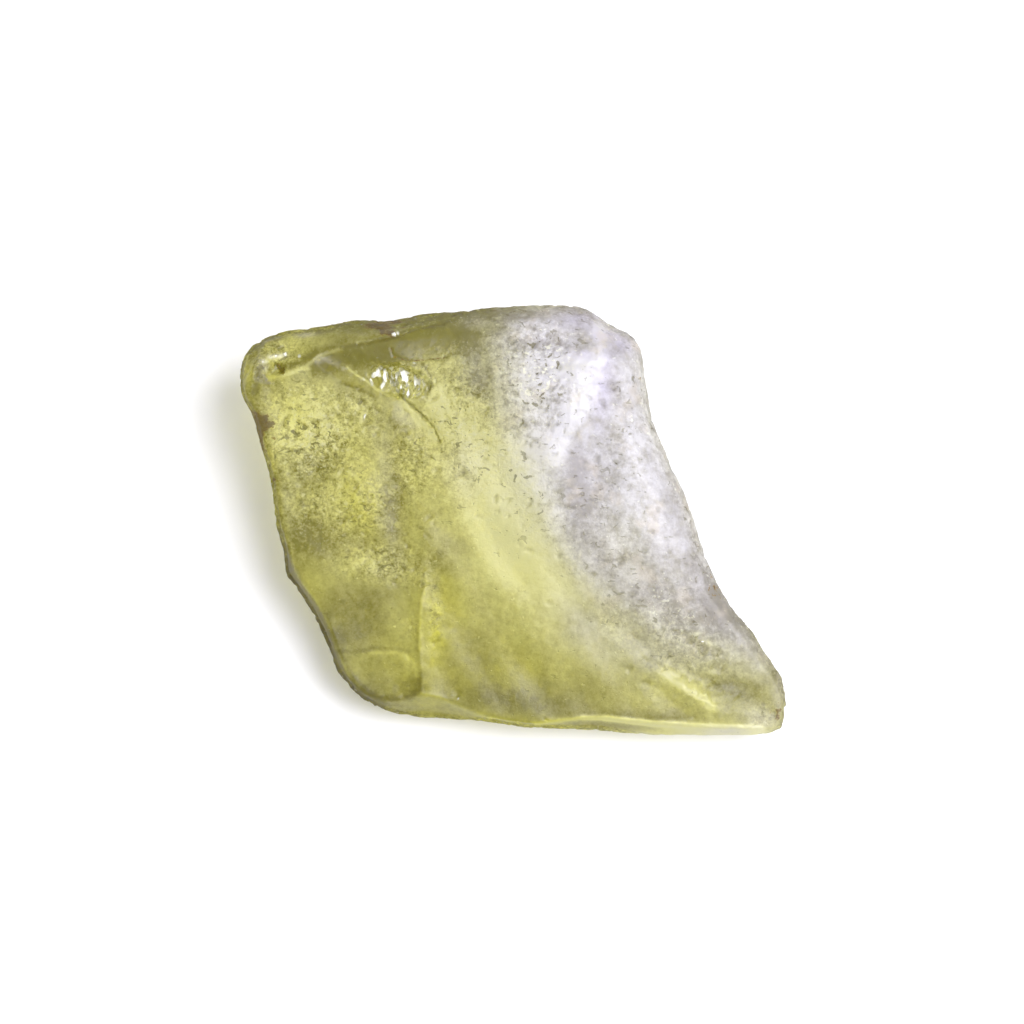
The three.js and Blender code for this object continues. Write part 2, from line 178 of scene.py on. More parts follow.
STONE_OUTLINE = closed_curve(
    [
        [-24.0, 12.4], [-23.7, 14.2], [-23.0, 15.2], [-21.7, 16.2], [-20.2, 16.7],
        [-17.0, 17.1], [-14.6, 17.65], [-11.6, 17.7], [-9.8, 17.8], [-8.4, 18.15],
        [-4.0, 18.55], [0.6, 19.0], [4.2, 19.05], [6.2, 18.75], [8.5, 17.3], [10.3, 16.4], [11.15, 15.3],
        [11.6, 12.4], [12.2, 8.9], [13.25, 6.3], [14.7, 3.1], [15.9, -0.1], [16.8, -3.0],
        [17.8, -5.3], [19.1, -7.3], [20.6, -9.1], [22.0, -11.2], [23.3, -13.2], [23.95, -15.3],
        [23.9, -17.3], [23.2, -18.3], [21.0, -19.0], [16.5, -19.25], [12.4, -19.0], [8.6, -18.35],
        [5.0, -18.1], [1.0, -17.95], [-2.5, -17.45], [-7.0, -17.2], [-10.2, -16.8], [-12.6, -15.8],
        [-14.2, -14.6], [-15.5, -12.9], [-16.25, -10.8], [-17.3, -8.5], [-18.6, -6.3], [-19.9, -4.6],
        [-20.1, -2.6], [-20.75, -0.1], [-21.05, 2.4], [-21.3, 4.1], [-22.1, 6.6], [-22.75, 9.2],
        [-23.6, 10.6],
    ]
)
# The crest round the face, past which the surface falls away in a bevel. On the right it lies outside the
# stone.
FACE_CREST = closed_curve(
    [
        [-23.6, 11.0], [-22.2, 14.0], [-19.4, 13.5], [-17.2, 14.5], [-14.2, 15.6], [-10.4, 16.4],
        [-7.0, 17.3], [-3.5, 18.9], [3, 23], [14, 22], [20, 10], [26, -4], [30, -14], [29, -18.3],
        [22.0, -18.0], [17.0, -17.8], [11.5, -17.4], [7.3, -17.0], [4.6, -17.15], [1.8, -17.4],
        [-0.8, -17.1], [-3.6, -16.3], [-5.6, -15.5], [-8.2, -15.1], [-10.6, -15.5], [-12.9, -14.8],
        [-14.5, -12.9], [-15.4, -10.7], [-16.3, -8.3], [-17.6, -6.2], [-18.9, -4.1], [-19.9, -1.8],
        [-21.0, 0.6], [-21.6, 3.5], [-22.9, 7.5],
    ]
)
BEVEL_SLOPES = {"front": 58, "back": 36}
BEVEL_EDGE = 0.22

# Broad facets: a point, its height w, and the climb to the right and to the back.
FACETS = [
    ([1, 8], 1.6, 5, -1.5),
    ([1, 8], 1.6, -9, -5),
    ([8, -4], 1.54, -1, 9),
    ([2, 15.8], 0.7, -5, -26),
    ([20, -14], -0.3, -9, 4),
    ([-14, -9], 0.1, 9, 7),
]
FACET_BLEND = 3.0

# Swells and hollows: middle, half-lengths, turn, height.
SWELLS = [
    ([5.6, 12.0], [4.6, 2.2], 68, 0.55),
    ([7.2, 3.2], [6.5, 2.2], 82, -0.5),
    ([10.6, 3.5], [7.0, 1.9], 112, 0.4),
    ([3.5, 15.7], [5.0, 1.0], 2, -0.35),
    ([-10.0, 2.0], [5.0, 1.4], 96, -0.5),
    ([-14.0, 2.0], [2.6, 2.0], 40, 0.35),
    ([-16.8, 4.8], [3.8, 1.1], 48, -0.45),
    ([-7.9, -9.0], [6.6, 1.1], 91, 0.45),
    ([15.0, -14.6], [3.8, 0.9], -34, 0.6),
    ([18.9, -14.3], [2.2, 1.3], -20, -0.45),
    ([12.5, -11.5], [4.0, 1.0], -35, -0.4),
    ([-12.5, -4.3], [3.5, 1.3], -8, 0.35),
    ([-22.4, 12.9], [1.2, 2.1], 0, 0.65),
    ([-20.6, 13.4], [1.0, 0.7], 20, -0.8),
]

# Flake scars: middle, half-lengths, turn, depth, and how far the edge is rounded.
FLAKE_SCARS = [
    ([-12.3, -8.9], [4.4, 2.4], 4, 0.5, 0.25),
    ([-11.5, -13.3], [3.6, 2.3], -6, 0.6, 0.1),
    ([0.2, -11.8], [7.6, 4.8], -8, 0.7, 0.35),
    ([-13.2, 13.0], [4.6, 1.5], -24, 0.6, 0.2),
    ([-8.2, 8.4], [2.8, 1.4], -50, 0.28, 0.1),
]

# The chipped hollow: middle, half-lengths, turn. Its walls fall to a depth, as steep as the wall says.
CHIP = ([-10.0, 12.2], [3.0, 1.45], -12)
CHIP_DEPTH = 1.1
CHIP_WALL = 2.2
# The small planes on its floor: how many, how far from its middle, how deep as shares of its depth, their
# greatest tilt, and how much distances to them count across and upright, which makes them tall and narrow.
SHARDS = 34
SHARD_REACH = (3.2, 1.8)
SHARD_DEPTHS = (-1, -0.35)
SHARD_TILT = 38
SHARD_SHAPE = (1.6, 0.8)

# Cracks and steps: path, half-width, depth.
CRACKS = {
    "crescent": (
        [[-9.9, 11.1], [-9.4, 10.6], [-8.8, 10.05], [-7.7, 9.1], [-6.85, 8.1], [-6.45, 7.2], [-6.3, 6.9]],
        0.1,
        0.3,
    ),
    "under the back bevel": (
        [[-13.5, 15.5], [-11.5, 15.8], [-10.0, 16.2], [-8.0, 16.9], [-6.0, 17.2]],
        0.1,
        0.2,
    ),
    "above the chip": (
        [[-10.6, 15.0], [-10.4, 14.35], [-9.6, 14.1], [-8.6, 14.0], [-7.2, 14.1], [-5.8, 14.25]],
        0.08,
        0.08,
    ),
    "beside the knob": ([[-22.4, 11.4], [-22.1, 12.4], [-21.95, 13.6], [-21.4, 14.6]], 0.45, 0.16),
    "in the knob": ([[-20.5, 13.6], [-20.1, 13.0]], 0.14, 0.25),
    "over the chip": (
        [[-14.4, 13.4], [-13.6, 12.75], [-12.6, 12.15], [-11.9, 11.5], [-10.8, 10.95]],
        0.1,
        0.12,
    ),
}

# Crisp edges, each from its left or upper end.
FRONT_EDGE = [
    [-8.1, -11.0], [-8.0, -14.9], [-6.5, -15.15], [-5.0, -15.95], [-3.5, -16.5], [-2.0, -17.0], [0.0, -17.35],
    [2.0, -17.5], [4.0, -17.25], [6.0, -17.0], [8.0, -17.05], [12.0, -17.5], [16.0, -17.85], [21.5, -18.0],
]
UPRIGHT_EDGE = [[-7.5, -4.4], [-7.5, -5.2], [-7.9, -6.5], [-8.1, -8.0], [-8.1, -11.0]]
KNOB_EDGE = [[-20.0, 13.0], [-18.0, 13.6], [-17.0, 14.5], [-15.0, 15.15]]
# The low ridges on them: path, half-width, height.
RIDGES = [
    (FRONT_EDGE, 0.2, 0.1),
    (UPRIGHT_EDGE, 0.28, 0.06),
    (KNOB_EDGE, 0.25, 0.1),
]

# The larger wind pits: u, v, radius.
PITS = [
    [-15.5, 9.4, 0.55], [-14.9, 10.0, 0.4], [-14.3, 8.9, 0.45], [-12.7, 8.8, 0.5], [-11.9, 7.6, 0.4],
    [-17.3, 7.5, 0.4], [-19.5, 6.2, 0.35], [-16.0, 6.3, 0.35], [-19.3, 4.3, 0.4], [-17.2, 4.5, 0.35],
    [-14.9, 3.0, 0.35], [-15.8, 1.6, 0.4], [-18.8, 8.8, 0.3], [-6.6, 4.5, 0.4], [-3.5, 10.9, 0.4],
    [-0.2, 13.7, 0.35], [3.8, 13.5, 0.5], [2.5, 9.7, 0.4], [0.8, 8.5, 0.4], [1.7, 8.6, 0.35],
    [7.3, 5.5, 0.4], [9.1, 11.9, 0.4], [1.3, -2.5, 0.35], [9.2, -3.2, 0.5], [13.0, -3.1, 0.35],
    [15.5, -10.2, 0.7], [16.4, -10.9, 0.75], [17.6, -11.3, 0.6], [18.0, -12.4, 0.75], [12.9, -9.5, 0.4],
    [14.9, -9.7, 0.4], [11.5, -14.0, 0.4], [10.0, -12.8, 0.35], [-7.8, -4.2, 0.35], [-4.9, -14.9, 0.4],
    [10.7, 12.4, 0.4], [4.1, 14.8, 0.3], [2.4, 14.0, 0.25], [2.4, 18.5, 0.3], [3.5, 5.9, 0.25],
    [9.3, 7.2, 0.25], [12.5, 1.2, 0.3], [-0.5, 1.9, 0.3], [0.6, -2.0, 0.25], [4.0, -2.9, 0.22],
    [12.0, -5.7, 0.3], [3.1, -7.0, 0.25], [10.1, -7.1, 0.25], [10.4, -8.3, 0.25], [9.6, -8.9, 0.25],
    [2.9, -17.1, 0.22], [22.6, -16.7, 0.4], [-20.3, 13.4, 0.35], [1.9, 16.9, 0.25], [2.9, 16.4, 0.25],
    [0.9, 15.2, 0.25],
]
# How deep a large pit is and how wide its narrow way, as shares of its radius.
PIT_RELIEF = 0.42
PIT_WIDTH = 0.85
# The power that gives a pit its profile, eased in at the rim.
PIT_PROFILE = 1.5
# The small pits: how many, the smallest radius, and how much larger one can be.
SMALL_PITS = 520
SMALL_PIT_RADIUS = 0.11
SMALL_PIT_SPREAD = 0.2
# The way in which the wind has drawn the pits out, in degrees from u.
WIND_TURN = 15

RIPPLE_HEIGHT = 0.11


def plane_height(plane, u, v):
    (mid_u, mid_v), w, right, back = plane
    return w + slope(right) * (u - mid_u) + slope(back) * (v - mid_v)


def ripple(u, v, w):
    """Long ripples left by the wind."""
    long = np.sin(0.62 * u + 0.31 * v + 0.4) * np.sin(0.55 * v - 0.42 * w)
    short = 0.6 * np.sin(1.21 * u - 0.7 * w + 1.7) * np.sin(1.05 * v + 0.5 * u)
    return RIPPLE_HEIGHT * (long + short)


def shard_floor(u, v):
    """The chip's floor: small tilted planes, each around its own seeded middle."""
    dice = np.random.default_rng(7)
    chip_u, chip_v = CHIP[0]
    reach_u, reach_v = SHARD_REACH
    narrow, tall = SHARD_SHAPE
    height = np.zeros(u.shape)
    nearest = np.full(u.shape, np.inf)
    for _ in range(SHARDS):
        mid_u = chip_u + dice.uniform(-reach_u, reach_u)
        mid_v = chip_v + dice.uniform(-reach_v, reach_v)
        deep = dice.uniform(*SHARD_DEPTHS) * CHIP_DEPTH
        right = dice.uniform(-SHARD_TILT, SHARD_TILT)
        back = dice.uniform(-SHARD_TILT, SHARD_TILT)
        far = np.hypot(narrow * (u - mid_u), tall * (v - mid_v))
        height = np.where(far < nearest, plane_height(((mid_u, mid_v), deep, right, back), u, v), height)
        nearest = np.minimum(nearest, far)
    return height


def edge_rounding(u, v):
    """How far the edge between the face and the side is rounded: tight in front, broad behind and right."""
    return 1.1 + 2.6 * smooth_step(-2, 12, 0.6 * u + 0.8 * v)


def outline_spare(u, v):
    """How much wider than its outline the solid starts out, before its edge is rounded."""
    left = 1 - smooth_step(-5, -1, u)
    right = smooth_step(8, 13, u)
    at_left = 0.7 * smooth_step(-2, -13, v)
    between = 0.2 * smooth_step(-12, -16, v)
    at_right = 1.1 * smooth_step(-10.5, -16, v)
    return 0.04 * edge_rounding(u, v) + left * at_left + (1 - left - right) * between + right * at_right


def rounded_off(inside, size):
    """How far the rounded edge lies under the face, at a depth inside the outline."""
    return (np.sqrt(size) - np.sqrt(np.clip(inside, size / 4, size))) ** 2


def face_height(u, v, crest_depth):
    """The height w of the face. The crest depth says how far points lie inside the crest."""
    ground = plane_height(FACETS[0], u, v)
    for facet in FACETS[1:]:
        ground = rounded_min(ground, plane_height(facet, u, v), FACET_BLEND)
    for middle, size, turn, rise in SWELLS:
        ground = ground + rise * oval_hill(middle, size, turn, u, v)
    height = ground
    for middle, size, turn, depth, edge in FLAKE_SCARS:
        a, b = oval_offsets(middle, size, turn, u, v)
        height = rounded_min(height, ground + depth * (a * a + b * b - 1), edge)
    a, b = oval_offsets(*CHIP, u, v)
    wall = CHIP_DEPTH * CHIP_WALL * (a * a + b * b - 1)
    height = np.minimum(height, ground + np.maximum(wall, shard_floor(u, v)))
    past = rounded_max(-crest_depth, 0, BEVEL_EDGE)
    front, back = slope(BEVEL_SLOPES["front"]), slope(BEVEL_SLOPES["back"])
    return height - (front + (back - front) * smooth_step(-2, 6, v)) * past


# Where the face is grainy and full of small pits: middle, half-lengths, turn, strength.
ROUGH_ZONES = [
    ([-17, 7.5], [5.0, 4.5], 0, 1.0),
    ([-15, 1.5], [6.0, 3.5], 0, 0.7),
    ([-11.5, -3.6], [4.0, 2.0], -10, 0.75),
    ([-4, 8], [4.0, 6.5], 20, 0.8),
    ([0, 4], [6.5, 3.0], -55, 0.7),
    ([2, 13], [4.0, 6.0], 0, 0.9),
    ([14, -9], [5.5, 4.0], -40, 0.55),
    ([-9, -9], [1.1, 1.2], 0, 0.7),
    ([-6.7, -9.0], [1.0, 4.0], 0, 0.55),
    ([-9.3, -12.4], [0.6, 1.0], 0, 0.6),
    ([-10, 12.3], [3.0, 1.6], 0, 1.0),
    ([-8.8, 5.5], [2.6, 3.6], 0, 0.7),
    ([8.5, -9.0], [3.4, 2.6], -35, 0.4),
    ([-13.5, 10.2], [3.0, 2.2], 0, 0.7),
    ([8, 0], [7, 7], 0, 0.3),
    ([10, 8], [3, 7], 0, 0.4),
    ([-20.5, 14.5], [3.0, 1.6], 15, 0.7),
    ([22.0, -17.0], [2.0, 1.4], 0, 0.35),
]
# Where flakes and polish have left it smooth, which is taken off the rough zones.
SMOOTH_ZONES = [
    ([-13.9, 12.5], [3.6, 1.0], -26, 1.0),
    ([-11, 15], [5.0, 1.0], 8, 0.6),
    ([0, -12], [7.0, 4.5], 0, 1.0),
    ([-11.5, -13.2], [3.6, 2.3], 0, 0.8),
    ([-12.5, -8.4], [3.8, 2.4], 0, 0.9),
]
# Where the wind has left a gloss.
GLOSS_ZONES = [
    ([5.8, 12.0], [1.9, 3.6], -14, 1.0),
    ([7.0, 13.6], [1.4, 0.9], 50, 0.9),
    ([4.9, 13.5], [1.3, 1.1], 0, 0.8),
    ([-13.9, 12.5], [3.6, 1.0], -26, 0.6),
    ([-10.0, 12.2], [3.0, 1.5], -12, 1.0),
    ([15.0, -14.6], [2.8, 0.8], -34, 0.6),
    ([12.0, -17.8], [7.0, 0.7], -2, 0.8),
    ([-4.0, 17.0], [6.0, 1.6], 5, 0.4),
    ([-20.3, 13.8], [1.3, 1.2], 0, 0.8),
]


def zone_strength(zones, u, v):
    strength = np.zeros(u.shape)
    for middle, size, turn, weight in zones:
        strength = np.maximum(strength, weight * oval_hill(middle, size, turn, u, v))
    return strength


def line_strength(lines, u, v):
    strength = np.zeros(u.shape)
    for path, half_width, weight in lines:
        strength = np.maximum(strength, weight * path_hill(path, half_width, u, v))
    return strength


def carve_pits(pits, u, v):
    """The depth that round and drawn-out pits take off the face: u, v, radius, stretch, turn, depth."""
    taken = np.zeros(u.shape)
    for pit_u, pit_v, radius, stretch, turn, depth in pits:
        reach = radius * stretch
        near = np.flatnonzero((np.abs(u - pit_u) < reach) & (np.abs(v - pit_v) < reach))
        a, b = oval_offsets((pit_u, pit_v), (reach, radius), turn, u[near], v[near])
        share = np.clip(1 - a * a - b * b, 0, 1)
        taken[near] = np.maximum(taken[near], depth * share**PIT_PROFILE)
    return taken


def large_pits():
    dice = np.random.default_rng(5)
    return [
        (u, v, PIT_WIDTH * radius, dice.uniform(1.1, 1.9), dice.normal(WIND_TURN, 40), PIT_RELIEF * radius)
        for u, v, radius in PITS
    ]


def small_pits():
    """Seeded small pits, most of them in the rough zones."""
    dice = np.random.default_rng(11)
    half_u, half_v = FACE_HALF
    pits = []
    while len(pits) < SMALL_PITS:
        u = dice.uniform(-half_u, half_u)
        v = dice.uniform(-half_v, half_v)
        spot = np.array([u]), np.array([v])
        rough = zone_strength(ROUGH_ZONES, *spot)[0] - 0.9 * zone_strength(SMOOTH_ZONES, *spot)[0]
        radius = SMALL_PIT_RADIUS + SMALL_PIT_SPREAD * dice.random() ** 3
        stretch = dice.uniform(1.2, 2.6)
        turn = dice.normal(WIND_TURN, 35)
        chance = dice.random()
        relief = dice.uniform(0.4, 0.8)
        if chance < 0.04 + rough:
            pits.append((u, v, radius, stretch, turn, relief * radius))
    return pits


# ---------------------------------------------------------------- shell

# The longest edges wanted on the underside, the sides and the rim, over the face and its rough zones, and
# at its cracks, edges and chip.
EDGE = {"under": 1.1, "side": 0.5, "rim": 0.3, "face": 0.27, "rough": 0.2, "fine": 0.14}
# The heights w where the underside starts and the rim ends, and how thick a layer counts as the face.
UNDERSIDE = -6
RIM_FOOT = -7
FACE_LAYER = 1.5

# The rim's reach is measured in slots round the stone. The outline is held in a box, so that the rim stays
# in the CAD solid's.
RIM_SLOTS = 120
RIM_NICK = 0.06
RIM_BOX = ([-23.9, -18.62], [23.85, 19.0])

# The CAD solid's distance to the face, as a share of the height over it.
FACE_NEARNESS = 0.85
# How far the marks of the face wander off their drawn places, and how far the edges of pits are frayed.
WANDER = 0.22
FRAY = 0.09
# How deep the sides and the underside are worn at most.
WEAR = {"dents": 0.07, "pocks": 0.16, "nicks": 0.22, "grain": 0.03}
# A pit or a crack this deep is fully darkened, with dust and painted shade.
DUST_AND_SHADE_PIT = 0.25
DUST_AND_SHADE_CRACK = 0.5


def cad_shell():
    """The CAD stone's points in the face frame, each once, and its triangles."""
    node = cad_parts["desert_glass"]
    node.data.calc_loop_triangles()
    local = np.empty(3 * len(node.data.vertices), np.float32)
    node.data.vertices.foreach_get("co", local)
    corners = np.empty(3 * len(node.data.loop_triangles), np.int32)
    node.data.loop_triangles.foreach_get("vertices", corners)
    matrix = np.array(node.matrix_world)
    row = (local.reshape(-1, 3).astype(float) @ matrix[:3, :3].T + matrix[:3, 3]) / MILLIMETRE
    _, first, same = np.unique(np.round(row, 3), axis=0, return_index=True, return_inverse=True)
    triangles = same.reshape(-1)[corners].reshape(-1, 3)
    a, b, c = triangles.T
    return to_face(row[first]), triangles[(a != b) & (b != c) & (c != a)]


def edges_of(triangles):
    """Every edge once, and the place of each triangle's three edges in that list."""
    pairs = np.sort(triangles[:, [0, 1, 1, 2, 2, 0]].reshape(-1, 2), axis=1)
    edges, which = np.unique(pairs, axis=0, return_inverse=True)
    return edges, which.reshape(-1, 3)


def loop_subdivide(points, triangles):
    """One step of Loop's smooth subdivision."""
    edges, which = edges_of(triangles)
    opposite = np.zeros((len(edges), 3))
    np.add.at(opposite, which, points[np.roll(triangles, 1, axis=1)])
    middles = 3 / 8 * (points[edges[:, 0]] + points[edges[:, 1]]) + opposite / 8
    ring = np.zeros_like(points)
    np.add.at(ring, edges[:, 0], points[edges[:, 1]])
    np.add.at(ring, edges[:, 1], points[edges[:, 0]])
    valence = np.bincount(edges.ravel(), minlength=len(points))[:, None]
    pull = (5 / 8 - (3 / 8 + np.cos(2 * np.pi / valence) / 4) ** 2) / valence
    eased = (1 - valence * pull) * points + pull * ring
    a, b, c = triangles.T
    ab, bc, ca = (which + len(points)).T
    finer = np.stack([[a, ab, ca], [ab, b, bc], [ca, bc, c], [ab, bc, ca]])
    return np.concatenate([eased, middles]), finer.transpose(0, 2, 1).reshape(-1, 3)


def point_normals(points, triangles):
    a, b, c = points[triangles].transpose(1, 0, 2)
    across = np.cross(b - a, c - a)
    normals = np.zeros_like(points)
    for corner in range(3):
        np.add.at(normals, triangles[:, corner], across)
    return normals / np.linalg.norm(normals, axis=1, keepdims=True)


def chosen_triangles(chosen, *corner_lists):
    return [np.stack(corners, 1)[chosen] for corners in corner_lists]


def split_long_edges(points, triangles, wanted):
    """Splits each edge that is longer than wanted. The new point follows the curve of the shell."""
    normals = point_normals(points, triangles)
    edges, which = edges_of(triangles)
    a, b = points[edges[:, 0]], points[edges[:, 1]]
    normal_a, normal_b = normals[edges[:, 0]], normals[edges[:, 1]]
    span = b - a
    rise_a = normal_a * (span * normal_a).sum(1, keepdims=True)
    rise_b = normal_b * (span * normal_b).sum(1, keepdims=True)
    middles = (a + b) / 2 - (rise_a - rise_b) / 8
    cut = np.linalg.norm(span, axis=1) > wanted(middles)
    place = np.full(len(edges), -1)
    place[cut] = len(points) + np.arange(cut.sum())
    points = np.concatenate([points, middles[cut]])
    middle = place[which]
    count = (middle >= 0).sum(1)
    finer = [triangles[count == 0]]
    for turn in range(3):
        a, b, c = np.roll(triangles, -turn, axis=1).T
        ab, bc, ca = np.roll(middle, -turn, axis=1).T
        one = (count == 1) & (ab >= 0)
        two = (count == 2) & (ca < 0)
        to_bc = np.linalg.norm(points[a] - points[bc], axis=1)
        to_c = np.linalg.norm(points[ab] - points[c], axis=1)
        short = two & (to_bc < to_c)
        long = two & (to_bc >= to_c)
        finer += chosen_triangles(one, (a, ab, c), (ab, b, c))
        finer += chosen_triangles(two, (ab, b, bc))
        finer += chosen_triangles(short, (a, ab, bc), (a, bc, c))
        finer += chosen_triangles(long, (a, ab, c), (ab, bc, c))
    a, b, c = triangles.T
    ab, bc, ca = middle.T
    finer += chosen_triangles(count == 3, (a, ab, ca), (ab, b, bc), (ca, bc, c), (ab, bc, ca))
    return points, np.concatenate(finer)


def edge_wanted(points):
    """The longest edge wanted at each point."""
    u, v, w = points.T
    on_face = w > face_height(u, v, np.zeros(len(u))) - FACE_LAYER
    fine = oval_hill(*CHIP, u, v) > 0.25
    for path, half_width, _ in [*CRACKS.values(), *RIDGES, *PAINTED_LIGHT_LINES]:
        fine |= distance_to_path(path, u, v) < half_width + 0.1
    wanted = np.where(w < UNDERSIDE, EDGE["under"], EDGE["side"])
    wanted[(np.abs(depth_inside(STONE_OUTLINE, u, v)) < 0.5) & (w > RIM_FOOT)] = EDGE["rim"]
    wanted[on_face] = EDGE["face"]
    wanted[on_face & (zone_strength(ROUGH_ZONES, u, v) > 0.45)] = EDGE["rough"]
    wanted[on_face & fine] = EDGE["fine"]
    return wanted


def reach_outline(points):
    """Draws the rim of the shell to the stone's outline, with small nicks in it."""
    around = np.arctan2(points[:, 1], points[:, 0])
    out = np.hypot(points[:, 0], points[:, 1])
    edge_u, edge_v = np.clip(STONE_OUTLINE, *RIM_BOX).T
    wanted = np.interp(around, np.arctan2(edge_v, edge_u), np.hypot(edge_u, edge_v), period=2 * np.pi)
    slot = ((around + np.pi) / (2 * np.pi) * RIM_SLOTS).astype(int) % RIM_SLOTS
    reach = np.zeros(RIM_SLOTS)
    np.maximum.at(reach, slot, out / wanted)
    middles = (np.arange(RIM_SLOTS) + 0.5) / RIM_SLOTS * 2 * np.pi - np.pi
    reach = np.interp(around, middles, reach, period=2 * np.pi)
    share = out / wanted / reach
    lumps = np.clip(cloud(points * [1, 1, 0.3], 0.6, seed=7.7) + 0.25, 0, 1)
    nick = RIM_NICK * lumps * smooth_step(0.94, 0.99, share)
    stretch = 1 + (1 / reach - 1) * smooth_step(0.75, 1, share) - nick / out
    points[:, :2] *= stretch[:, None]


def carved_shell():
    """The stone's fine points in the face frame, its triangles, what the wear leaves at each point, and how
    far each point lies inside the outline and inside the crest."""
    points, triangles = loop_subdivide(*cad_shell())
    for _ in range(3):
        points, triangles = split_long_edges(points, triangles, edge_wanted)
    reach_outline(points)
    u, v, w = points.T
    rim = depth_inside(STONE_OUTLINE, u, v)
    crest = depth_inside(FACE_CREST, u, v)
    wander_u = u + WANDER * cloud(points, 0.7, seed=3.1)
    wander_v = v + WANDER * cloud(points, 0.7, seed=8.7)
    rounding = edge_rounding(u, v)
    waves = ripple(u, v, w)
    inside = rim + outline_spare(u, v) - waves
    drop = (waves + rounded_off(inside, rounding)) / FACE_NEARNESS
    height = face_height(wander_u, wander_v, crest) - drop
    reach = 0.5 + smooth_step(1.0, 2.0, rim)
    within = smooth_step(0.22 * rounding, 0.5 * rounding, rim)
    on_face = within * smooth_step(reach + 0.5, reach, height - w)

    rough = zone_strength(ROUGH_ZONES, u, v) - zone_strength(SMOOTH_ZONES, u, v)
    rough = np.clip(rough, 0, 1) * on_face
    crack = line_strength(CRACKS.values(), wander_u, wander_v)
    ridge = line_strength(RIDGES, u, v)
    fray_u = wander_u + FRAY * cloud(points, 0.28, 2, seed=6.3)
    fray_v = wander_v + FRAY * cloud(points, 0.28, 2, seed=2.9)
    large = carve_pits(large_pits(), fray_u, fray_v)
    small = carve_pits(small_pits(), fray_u, fray_v)
    grain = cloud(points, 0.55, seed=1.3)
    relief = on_face * (ridge - crack - np.maximum(large, small))
    relief += (0.012 + 0.035 * rough) * on_face * grain
    points[:, 2] = w + on_face * (height - w) + relief

    # Sides and underside: always worn inwards, and not at all where the stone touches the floor.
    normals = point_normals(points, triangles)
    above_floor = to_row(points)[:, 2]
    free = (1 - on_face) * smooth_step(0.15, 1.2, above_floor)
    dents = 0.5 + 0.5 * cloud(points, 3.2, seed=5.5)
    pocks = np.clip(cloud(points, 1.1, 2, seed=9.1) - 0.25, 0, 1)
    nicks = np.clip(cloud(points, 0.8, seed=4.2) + 0.1, 0, 1) * fading(rim, 0.7)
    worn = WEAR["dents"] * dents + WEAR["pocks"] * pocks + WEAR["nicks"] * nicks
    worn += WEAR["grain"] * (0.5 + 0.5 * grain)
    points -= normals * (free * worn)[:, None]

    # Dust and painted shade darken the pits and cracks of the face, and the pocks of the sides.
    dust_and_shade = (0.5 * large + small) * on_face / DUST_AND_SHADE_PIT + crack * on_face / DUST_AND_SHADE_CRACK
    wear = {
        "hollow": np.clip(dust_and_shade + free * pocks * 0.8, 0, 1),
        "side": 1 - on_face,
        "rough": np.maximum(rough, 0.45 * free),
    }
    return points, triangles, wear, rim, crest


# ---------------------------------------------------------------- colour, painted light and shade, by place

# Pale weathered skin, partly a painted sheen of the cool key light, lies inside this curve.
PALE_SKIN_AND_SHEEN = closed_curve(
    [
        [0.2, 20], [-0.6, 14.4], [0.4, 10.0], [1.4, 5.6], [3.2, 1.8], [5.2, -1.8], [8.0, -7.0], [11.5, -10.4],
        [14.5, -11.4], [17.5, -11.0], [21.5, -12.0], [26, -12.5], [28, 0], [18, 20],
    ]
)
# Smaller patches of it, some of them painted highlights on the knob and the bottom rim: middle, half-lengths,
# turn, strength.
PALE_AND_LIT_PATCHES = [
    ([18.4, -18.3], [2.4, 0.45], 2, 0.4),
    ([22.0, -17.2], [1.5, 1.1], 0, 0.4),
    ([23.2, -14.5], [0.7, 2.6], 0, 0.4),
    ([-20.6, 14.4], [0.9, 0.22], 5, 0.5),
    ([-21.7, 13.8], [0.35, 0.6], 10, 0.4),
    ([-18.0, 16.3], [0.9, 0.25], 5, 0.35),
    ([6.8, -9.4], [2.6, 3.6], 40, 0.26),
    ([3.6, 17.2], [3.0, 1.6], 0, 0.5),
    ([-2.5, 17.6], [2.4, 0.9], 6, 0.35),
    ([-3.2, 14.0], [1.2, 2.6], 10, 0.18),
    ([-4.0, 4.5], [1.4, 2.8], 0, 0.15),
]
# Brown iron stains: middle, half-lengths, turn, strength.
IRON_STAINS = [
    ([-22.2, 7.9], [1.1, 1.6], 15, 1.8),
    ([-20.8, 3.7], [0.7, 0.35], -20, 1.2),
    ([-10.9, 17.3], [1.7, 0.65], 8, 1.6),
    ([-11.0, 16.6], [0.35, 0.8], 0, 0.9),
    ([-20.4, 13.3], [0.25, 0.35], 0, 1.0),
    ([18.0, -6.1], [0.8, 1.3], 30, 0.52),
    ([22.9, -16.7], [0.42, 0.75], -10, 0.8),
    ([10.8, 12.3], [0.6, 0.3], 0, 0.5),
]
